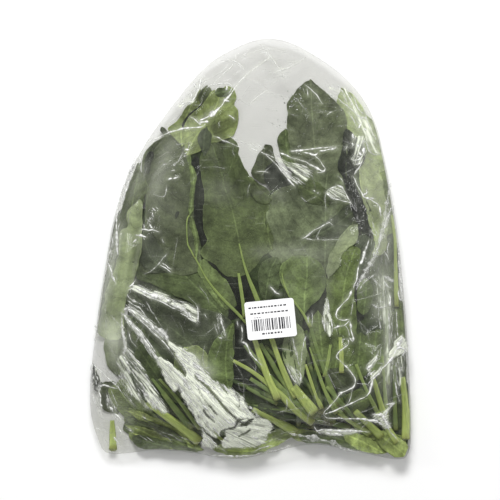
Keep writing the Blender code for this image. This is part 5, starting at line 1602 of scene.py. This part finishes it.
def make_label_print():
    """Generic marks: two rows of dashes, a block of upright bars, and a short row of dashes under it."""
    rng = np.random.default_rng(SEED + 3)
    pieces = Pieces()

    def mark(left, right, low, high):
        corners = [(left, low), (right, low), (right, high), (left, high)]
        points = [label_place(u, v, lift) for lift in (-0.02, INK) for u, v in corners]
        pieces.add(points, [[3, 2, 1, 0], [4, 5, 6, 7], [0, 1, 5, 4], [1, 2, 6, 5], [2, 3, 7, 6], [3, 0, 4, 7]])

    def dashes(start, end, middle, height):
        place = start
        while place < end:
            length = rng.uniform(0.8, 2.6)
            mark(place, min(place + length, end), middle - height / 2, middle + height / 2)
            place += length + rng.uniform(0.5, 1.1)

    dashes(-17.0, 13.5, 10.4, 1.2)
    dashes(-16.0, 14.5, 5.6, 1.1)
    dashes(-13.0, -8.0, 2.2, 0.5)
    place = -15.5
    while place < 15.0:
        width = rng.choice([0.5, 0.5, 0.9, 1.3])
        mark(place, place + width, -8.6, 0.9)
        place += width + rng.choice([0.5, 0.8, 1.2])
    dashes(-8.0, 9.0, -11.2, 1.3)
    return pieces.make("label_print", {})


# ---------------------------------------------------------------- materials

def new_material(name):
    """An empty node tree and its output. Returns the material, the tree and the output's surface socket."""
    made = bpy.data.materials.new(name)
    made.use_nodes = True
    tree = made.node_tree
    tree.nodes.clear()
    output = tree.nodes.new("ShaderNodeOutputMaterial")
    return made, tree, output.inputs["Surface"]


def node(tree, kind, inputs=None, **settings):
    """Adds a node. inputs maps socket names or numbers to values or to other nodes' outputs."""
    made = tree.nodes.new("ShaderNode" + kind)
    for key, value in settings.items():
        setattr(made, key, value)
    for key, value in (inputs or {}).items():
        if isinstance(value, bpy.types.NodeSocket):
            tree.links.new(value, made.inputs[key])
        else:
            made.inputs[key].default_value = value
    return made


def sum_of(tree, operation, first, second=0.0, clamp=False):
    """One Math node's result."""
    made = node(tree, "Math", {0: first, 1: second}, operation=operation)
    made.use_clamp = clamp
    return made.outputs[0]


def attribute(tree, name, socket="Fac"):
    return node(tree, "Attribute", attribute_name=name).outputs[socket]


def stepped(tree, value, low, high, to_low=0.0, to_high=1.0):
    """value turned smoothly from to_low to to_high between low and high."""
    made = node(tree, "MapRange", {"Value": value, "From Min": low, "From Max": high, "To Min": to_low,
                                   "To Max": to_high}, interpolation_type="SMOOTHSTEP")
    return made.outputs["Result"]


def blended(tree, factor, first, second, blend="MIX"):
    """Two colours blended by factor."""
    made = node(tree, "Mix", data_type="RGBA", blend_type=blend)
    for index, value in ((0, factor), (6, first), (7, second)):
        if isinstance(value, bpy.types.NodeSocket):
            tree.links.new(value, made.inputs[index])
        else:
            made.inputs[index].default_value = value
    return made.outputs[2]


def noise(tree, vector, scale, detail=2.0, roughness=0.5, distortion=0.0):
    return node(tree, "TexNoise", {"Vector": vector, "Scale": scale, "Detail": detail, "Roughness": roughness,
                                   "Distortion": distortion}).outputs["Fac"]


def stretched(tree, vector, scale):
    return node(tree, "Mapping", {"Vector": vector, "Scale": scale}).outputs["Vector"]


def object_place(tree):
    return node(tree, "TexCoord").outputs["Object"]


def bumped(tree, height, strength, distance):
    return node(tree, "Bump", {"Height": height, "Strength": strength, "Distance": distance}).outputs["Normal"]


def leaf_material():
    made, tree, surface = new_material("spinach_leaf")
    tone = attribute(tree, "tone", "Color")
    blade = attribute(tree, "blade", "Vector")
    under = attribute(tree, "under")
    parts = node(tree, "SeparateXYZ", {"Vector": blade}).outputs
    aside = sum_of(tree, "ABSOLUTE", parts["X"])
    # Side veins lie where the vein attribute is a whole number.
    wobble = noise(tree, blade, 0.16, 2.0)
    vein = sum_of(tree, "ADD", attribute(tree, "vein"), sum_of(tree, "MULTIPLY", wobble, 0.5))
    phase = sum_of(tree, "PINGPONG", vein, 0.5)
    side_vein = stepped(tree, phase, 0.045, 0.012)
    side_vein = sum_of(tree, "MULTIPLY", side_vein, stepped(tree, parts["Z"], 0.96, 0.6, 0.0, 1.0))
    midrib = sum_of(tree, "MULTIPLY", stepped(tree, aside, 0.80, 0.35), sum_of(tree, "SUBTRACT", 1.0, under))
    cells = node(tree, "TexVoronoi", {"Vector": stretched(tree, blade, (1, 1, 0)), "Scale": 0.30},
                 feature="DISTANCE_TO_EDGE").outputs["Distance"]
    fine = node(tree, "TexVoronoi", {"Vector": stretched(tree, blade, (1, 1, 0)), "Scale": 0.8},
                feature="DISTANCE_TO_EDGE").outputs["Distance"]
    place = object_place(tree)
    clouds = noise(tree, place, 44.0, 5.0, 0.62, 0.4)
    mottle = noise(tree, stretched(tree, place, (1.0, 1.4, 1.0)), 150.0, 4.0, 0.6)
    speckle = noise(tree, place, 700.0, 2.0)
    # Every mark makes the leaf's tone lighter or darker. The large clouds are partly the leaf's own mottling and partly
    # painted soft shade of its waves; the vein-phase mark is painted shade in the valleys along the side veins, with a
    # little painted light on the blisters between; the rest is the leaf's own tone.
    shade = sum_of(tree, "MULTIPLY", stepped(tree, clouds, 0.32, 0.70, 0.62, 1.42),
                   stepped(tree, mottle, 0.30, 0.72, 0.86, 1.16))
    shade = sum_of(tree, "MULTIPLY", shade, stepped(tree, speckle, 0.35, 0.7, 1.08, 0.86))
    shade = sum_of(tree, "MULTIPLY", shade, stepped(tree, phase, 0.0, 0.25, 0.84, 1.06))
    shade = sum_of(tree, "MULTIPLY", shade, stepped(tree, cells, 0.02, 0.12, 1.16, 1.0))
    # Paler midrib and side veins, which the leaf has, and a painted highlight along the leaf's very edge.
    light = sum_of(tree, "MAXIMUM", sum_of(tree, "MULTIPLY", midrib, 0.50), sum_of(tree, "MULTIPLY", side_vein, 0.36))
    light = sum_of(tree, "MAXIMUM", light, stepped(tree, parts["Z"], 0.955, 0.985, 0.0, 0.40))
    shade = sum_of(tree, "MULTIPLY", shade, sum_of(tree, "ADD", light, 1.0))
    colour = node(tree, "VectorMath", {0: tone, "Scale": shade}, operation="SCALE").outputs["Vector"]
    greyer = stepped(tree, noise(tree, place, 30.0, 3.0, 0.6), 0.48, 0.70, 0.0, 0.25)
    colour = blended(tree, greyer, colour, (0.082, 0.096, 0.060, 1))
    colour = blended(tree, sum_of(tree, "MULTIPLY", under, 0.22), colour, (0.42, 0.47, 0.33, 1))
    raised = sum_of(tree, "SUBTRACT", sum_of(tree, "MULTIPLY", cells, 0.6), sum_of(tree, "MULTIPLY", side_vein, 0.5))
    raised = sum_of(tree, "ADD", raised, sum_of(tree, "MULTIPLY", fine, 0.25))
    raised = sum_of(tree, "ADD", raised, sum_of(tree, "MULTIPLY", clouds, 2.2))
    roughness = stepped(tree, mottle, 0.2, 0.8, 0.42, 0.60)
    shader = node(tree, "BsdfPrincipled", {"Base Color": colour, "Roughness": roughness, "Specular IOR Level": 0.35,
                                           "Normal": bumped(tree, raised, 0.7, 0.0010)})
    tree.links.new(shader.outputs[0], surface)
    return made


def stem_material():
    made, tree, surface = new_material("spinach_stem")
    tone = attribute(tree, "tone", "Color")
    fibre = attribute(tree, "fibre", "Vector")
    parts = node(tree, "SeparateXYZ", {"Vector": fibre}).outputs
    streak = noise(tree, stretched(tree, fibre, (3.0, 3.0, 1.0)), 2.2, 3.0)
    place = object_place(tree)
    mottle = noise(tree, place, 120.0, 3.0)
    cut = stepped(tree, parts["Z"], 0.3, 0.1)
    # The groove along the stem's top is darkened: painted shade in the hollow.
    groove = stepped(tree, sum_of(tree, "ABSOLUTE", sum_of(tree, "SUBTRACT", parts["X"], 1.57)), 0.7, 0.2)
    colour = blended(tree, stepped(tree, streak, 0.35, 0.7, 0.0, 0.45), tone, (0.10, 0.16, 0.04, 1))
    colour = blended(tree, sum_of(tree, "MULTIPLY", groove, 0.25), colour, (0.07, 0.11, 0.03, 1))
    colour = blended(tree, stepped(tree, mottle, 0.45, 0.8, 0.0, 0.4), colour, (0.40, 0.47, 0.16, 1))
    near_crown = stepped(tree, parts["Y"], 0.86, 1.0, 0.0, 0.35)
    colour = blended(tree, near_crown, colour, (0.22, 0.17, 0.06, 1))
    colour = blended(tree, cut, colour, (0.34, 0.40, 0.16, 1))
    shader = node(tree, "BsdfPrincipled", {"Base Color": colour, "Roughness": 0.42, "Specular IOR Level": 0.4,
                                           "Normal": bumped(tree, streak, 0.35, 0.0004)})
    tree.links.new(shader.outputs[0], surface)
    return made


def core_material():
    made, tree, surface = new_material("leaf_core_shade")
    place = object_place(tree)
    clumps = noise(tree, place, 60.0, 4.0, 0.6)
    # Near-black greens: painted shade for the shadowed depths of the leaf pile.
    colour = blended(tree, stepped(tree, clumps, 0.35, 0.7), (0.018, 0.028, 0.010, 1), (0.07, 0.10, 0.035, 1))
    shader = node(tree, "BsdfPrincipled", {"Base Color": colour, "Roughness": 0.7,
                                           "Normal": bumped(tree, clumps, 0.8, 0.003)})
    tree.links.new(shader.outputs[0], surface)
    return made


FILM_TINT = (0.885, 0.885, 0.875, 1)
FACING_GLOSS = 0.03  # share of light that the film mirrors straight on


def mirror_share(tree, normal):
    """How much the film mirrors: little straight on and more at a slant."""
    facing = node(tree, "LayerWeight", {"Blend": 0.5, "Normal": normal}).outputs["Facing"]
    power = sum_of(tree, "POWER", facing, 4.0)
    return sum_of(tree, "ADD", sum_of(tree, "MULTIPLY", power, 0.28), FACING_GLOSS, clamp=True)


def film_material():
    made, tree, surface = new_material("clear_film")
    place = object_place(tree)
    grain = attribute(tree, "grain", "Vector")
    crumple_glint = attribute(tree, "crumple_glint")
    # Painted glints: long streaks along the crinkles. The larger the patch's glint value, the more of the patch they
    # fill.
    broad = noise(tree, stretched(tree, grain, (0.035, 0.38, 0.3)), 1.0, 2.0, 0.5)
    narrow = noise(tree, stretched(tree, grain, (0.07, 1.0, 0.3)), 1.0, 2.0, 0.5)
    hair = noise(tree, stretched(tree, grain, (0.14, 2.3, 0.3)), 1.0, 2.0, 0.5)
    streak = sum_of(tree, "ADD", sum_of(tree, "MULTIPLY", broad, 0.55), sum_of(tree, "MULTIPLY", narrow, 0.45))
    streak = stepped(tree, streak, 0.34, 0.66)
    level = sum_of(tree, "SUBTRACT", sum_of(tree, "ADD", streak, sum_of(tree, "MULTIPLY", crumple_glint, 1.25)), 1.0)
    glare = stepped(tree, level, -0.1, 0.45)
    glare = sum_of(tree, "MULTIPLY", glare, stepped(tree, hair, 0.32, 0.68, 0.55, 0.95))
    # Soft clouds of painted sheen over the whole film.
    sheen_cloud = noise(tree, stretched(tree, place, (1.0, 0.7, 0.3)), 26.0, 4.0, 0.6, 0.6)
    sheen_cloud = stepped(tree, sheen_cloud, 0.50, 0.78, 0.0, 0.07)
    fine = noise(tree, place, 120.0, 3.0, 0.5, 0.6)
    height = sum_of(tree, "ADD", sum_of(tree, "MULTIPLY", sum_of(tree, "ADD", streak, hair),
                                        sum_of(tree, "MULTIPLY", crumple_glint, 1.4)), sum_of(tree, "MULTIPLY", fine, 0.2))
    normal = bumped(tree, height, 0.8, 0.0009)
    # The veil mixes a flat white into the film: painted glare and sheen, and the whitening round the folds.
    veil = sum_of(tree, "ADD", attribute(tree, "haze_and_sheen"), glare)
    veil = sum_of(tree, "ADD", veil, sheen_cloud)
    veil = sum_of(tree, "ADD", veil, sum_of(tree, "MULTIPLY", sum_of(tree, "POWER", crumple_glint, 2.0), 0.72), clamp=True)
    clear = node(tree, "BsdfTransparent", {"Color": FILM_TINT})
    whitening_and_glint = node(tree, "BsdfDiffuse", {"Color": (0.82, 0.86, 0.72, 1), "Normal": normal})
    gloss = node(tree, "BsdfGlossy", {"Color": (1, 1, 1, 1), "Roughness": 0.13, "Normal": normal})
    body = node(tree, "MixShader", {0: veil, 1: clear.outputs[0], 2: whitening_and_glint.outputs[0]})
    shader = node(tree, "MixShader", {0: mirror_share(tree, normal), 1: body.outputs[0], 2: gloss.outputs[0]})
    tree.links.new(shader.outputs[0], surface)
    return made


def crease_material():
    made, tree, surface = new_material("film_crease")
    place = object_place(tree)
    broken = noise(tree, place, 340.0, 3.0, 0.65)
    # The white of the crease lines is partly whitening of the folded film and partly a painted glint.
    share = sum_of(tree, "MULTIPLY", attribute(tree, "whitening_and_glint"), stepped(tree, broken, 0.36, 0.58, 0.40, 1.25), clamp=True)
    clear = node(tree, "BsdfTransparent", {"Color": (0.97, 0.97, 0.97, 1)})
    whitening_and_glint = node(tree, "BsdfPrincipled", {"Base Color": (0.95, 0.96, 0.93, 1), "Roughness": 0.25,
                                          "Specular IOR Level": 0.8, "Normal": bumped(tree, broken, 0.3, 0.0003)})
    shader = node(tree, "MixShader", {0: share, 1: clear.outputs[0], 2: whitening_and_glint.outputs[0]})
    tree.links.new(shader.outputs[0], surface)
    return made


def drop_material():
    made, tree, surface = new_material("water_drop")
    place = object_place(tree)
    shine = stepped(tree, noise(tree, place, 900.0), 0.3, 0.7, 0.25, 0.55)
    clear = node(tree, "BsdfTransparent", {"Color": (0.86, 0.88, 0.86, 1)})
    gloss = node(tree, "BsdfGlossy", {"Color": (1, 1, 1, 1), "Roughness": 0.12})
    shader = node(tree, "MixShader", {0: shine, 1: clear.outputs[0], 2: gloss.outputs[0]})
    tree.links.new(shader.outputs[0], surface)
    return made


def paper_material():
    made, tree, surface = new_material("label_paper_white")
    place = object_place(tree)
    fibres = noise(tree, stretched(tree, place, (1, 2.2, 1)), 900.0, 4.0, 0.6)
    smudge = noise(tree, place, 70.0, 2.0)
    colour = blended(tree, stepped(tree, fibres, 0.3, 0.7), (0.90, 0.90, 0.90, 1), (0.95, 0.95, 0.955, 1))
    colour = blended(tree, stepped(tree, smudge, 0.5, 0.8, 0.0, 0.25), colour, (0.84, 0.84, 0.85, 1))
    shader = node(tree, "BsdfPrincipled", {"Base Color": colour, "Roughness": 0.38, "Specular IOR Level": 0.4,
                                           "Normal": bumped(tree, fibres, 0.15, 0.0002)})
    tree.links.new(shader.outputs[0], surface)
    return made


def ink_material():
    made, tree, surface = new_material("thermal_ink")
    wear = noise(tree, object_place(tree), 1500.0, 3.0)
    colour = blended(tree, stepped(tree, wear, 0.35, 0.75), (0.022, 0.022, 0.028, 1), (0.075, 0.075, 0.085, 1))
    shader = node(tree, "BsdfPrincipled", {"Base Color": colour, "Roughness": 0.5})
    tree.links.new(shader.outputs[0], surface)
    return made


def floor_material():
    made, tree, surface = new_material("studio_floor")
    soft = noise(tree, object_place(tree), 3.0)
    colour = blended(tree, stepped(tree, soft, 0.3, 0.7), (0.93, 0.93, 0.93, 1), (0.945, 0.945, 0.945, 1))
    shader = node(tree, "BsdfPrincipled", {"Base Color": colour, "Roughness": 0.9, "Specular IOR Level": 0.1})
    tree.links.new(shader.outputs[0], surface)
    return made


# ---------------------------------------------------------------- floor, light and camera

VIEW_WIDTH = 411 * MM  # the camera sees this much at the height of the rim
VIEW_HEIGHT = 2.6
SENSOR = 36.0
WORLD_LIGHT = 0.30


def make_floor():
    half = 2.5
    corners = [(-half, -half, 0), (half, -half, 0), (half, half, 0), (-half, half, 0)]
    floor = new_mesh_object("floor", corners, [[0, 1, 2, 3]], smooth=False)
    floor.data.materials.append(floor_material())


def aim(obj, place, target):
    obj.location = place
    obj.rotation_euler = (Vector(target) - Vector(place)).to_track_quat("-Z", "Y").to_euler()


def add_softbox(name, place, size, power, mirrored=True, target=(0, 0, 0.02)):
    """A rectangular light. One that isn't mirrored lights the object but makes no glint in the film."""
    light = bpy.data.lights.new(name, "AREA")
    light.shape, light.size, light.size_y, light.energy = "RECTANGLE", size[0], size[1], power
    made = bpy.data.objects.new(name, light)
    made.visible_glossy = mirrored
    bpy.context.scene.collection.objects.link(made)
    aim(made, place, target)


def make_light():
    world = bpy.data.worlds.new("studio")
    world.use_nodes = True
    background = world.node_tree.nodes["Background"]
    background.inputs["Color"].default_value = (1, 1, 1, 1)
    background.inputs["Strength"].default_value = WORLD_LIGHT
    bpy.context.scene.world = world
    add_softbox("key", (-0.06, 0.85, 1.30), (0.5, 0.4), 20, mirrored=False)
    add_softbox("fill", (0.1, -0.3, 1.8), (0.9, 0.9), 5, mirrored=False)
    add_softbox("glint_dome", (-0.5, 1.2, 0.55), (0.5, 0.12), 1.0)
    add_softbox("glint_left", (-1.2, 0.2, 0.7), (0.10, 0.7), 1.8)
    add_softbox("glint_right", (1.2, 0.1, 0.75), (0.10, 0.7), 1.8)


def make_camera():
    data = bpy.data.cameras.new("camera")
    data.sensor_width = SENSOR
    rim_height = 16 * MM
    data.lens = SENSOR * VIEW_HEIGHT / VIEW_WIDTH
    made = bpy.data.objects.new("camera", data)
    bpy.context.scene.collection.objects.link(made)
    made.location = (-0.0002, -0.0012, VIEW_HEIGHT + rim_height)
    bpy.context.scene.camera = made


# ---------------------------------------------------------------- putting it together

def place_piece(obj, material, hides=False):
    obj.data.materials.clear()
    obj.data.materials.append(material)
    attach(obj, "root")
    if hides:
        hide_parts("bag")


def build():
    leaves, inner, stems, core, heap = make_heap()
    wrinkles = seeded_wrinkles(np.random.default_rng(SEED + 4), WRINKLE_COUNT)
    streaks = seeded_streaks(np.random.default_rng(SEED + 5))
    film, film_map = make_film(heap, wrinkles)
    leaf = leaf_material()
    place_piece(leaves, leaf)
    place_piece(inner, leaf)
    place_piece(stems, stem_material())
    place_piece(make_core(core), core_material())
    place_piece(film, film_material(), hides=True)
    place_piece(make_creases(film_map, wrinkles, streaks), crease_material(), hides=True)
    place_piece(make_drops(film_map), drop_material(), hides=True)
    place_piece(make_label_print(), ink_material())
    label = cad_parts["label"]
    for slot in label.material_slots:
        slot.material = paper_material()
    make_floor()
    make_light()
    make_camera()
    bpy.context.scene.view_settings.view_transform = "Standard"


build()
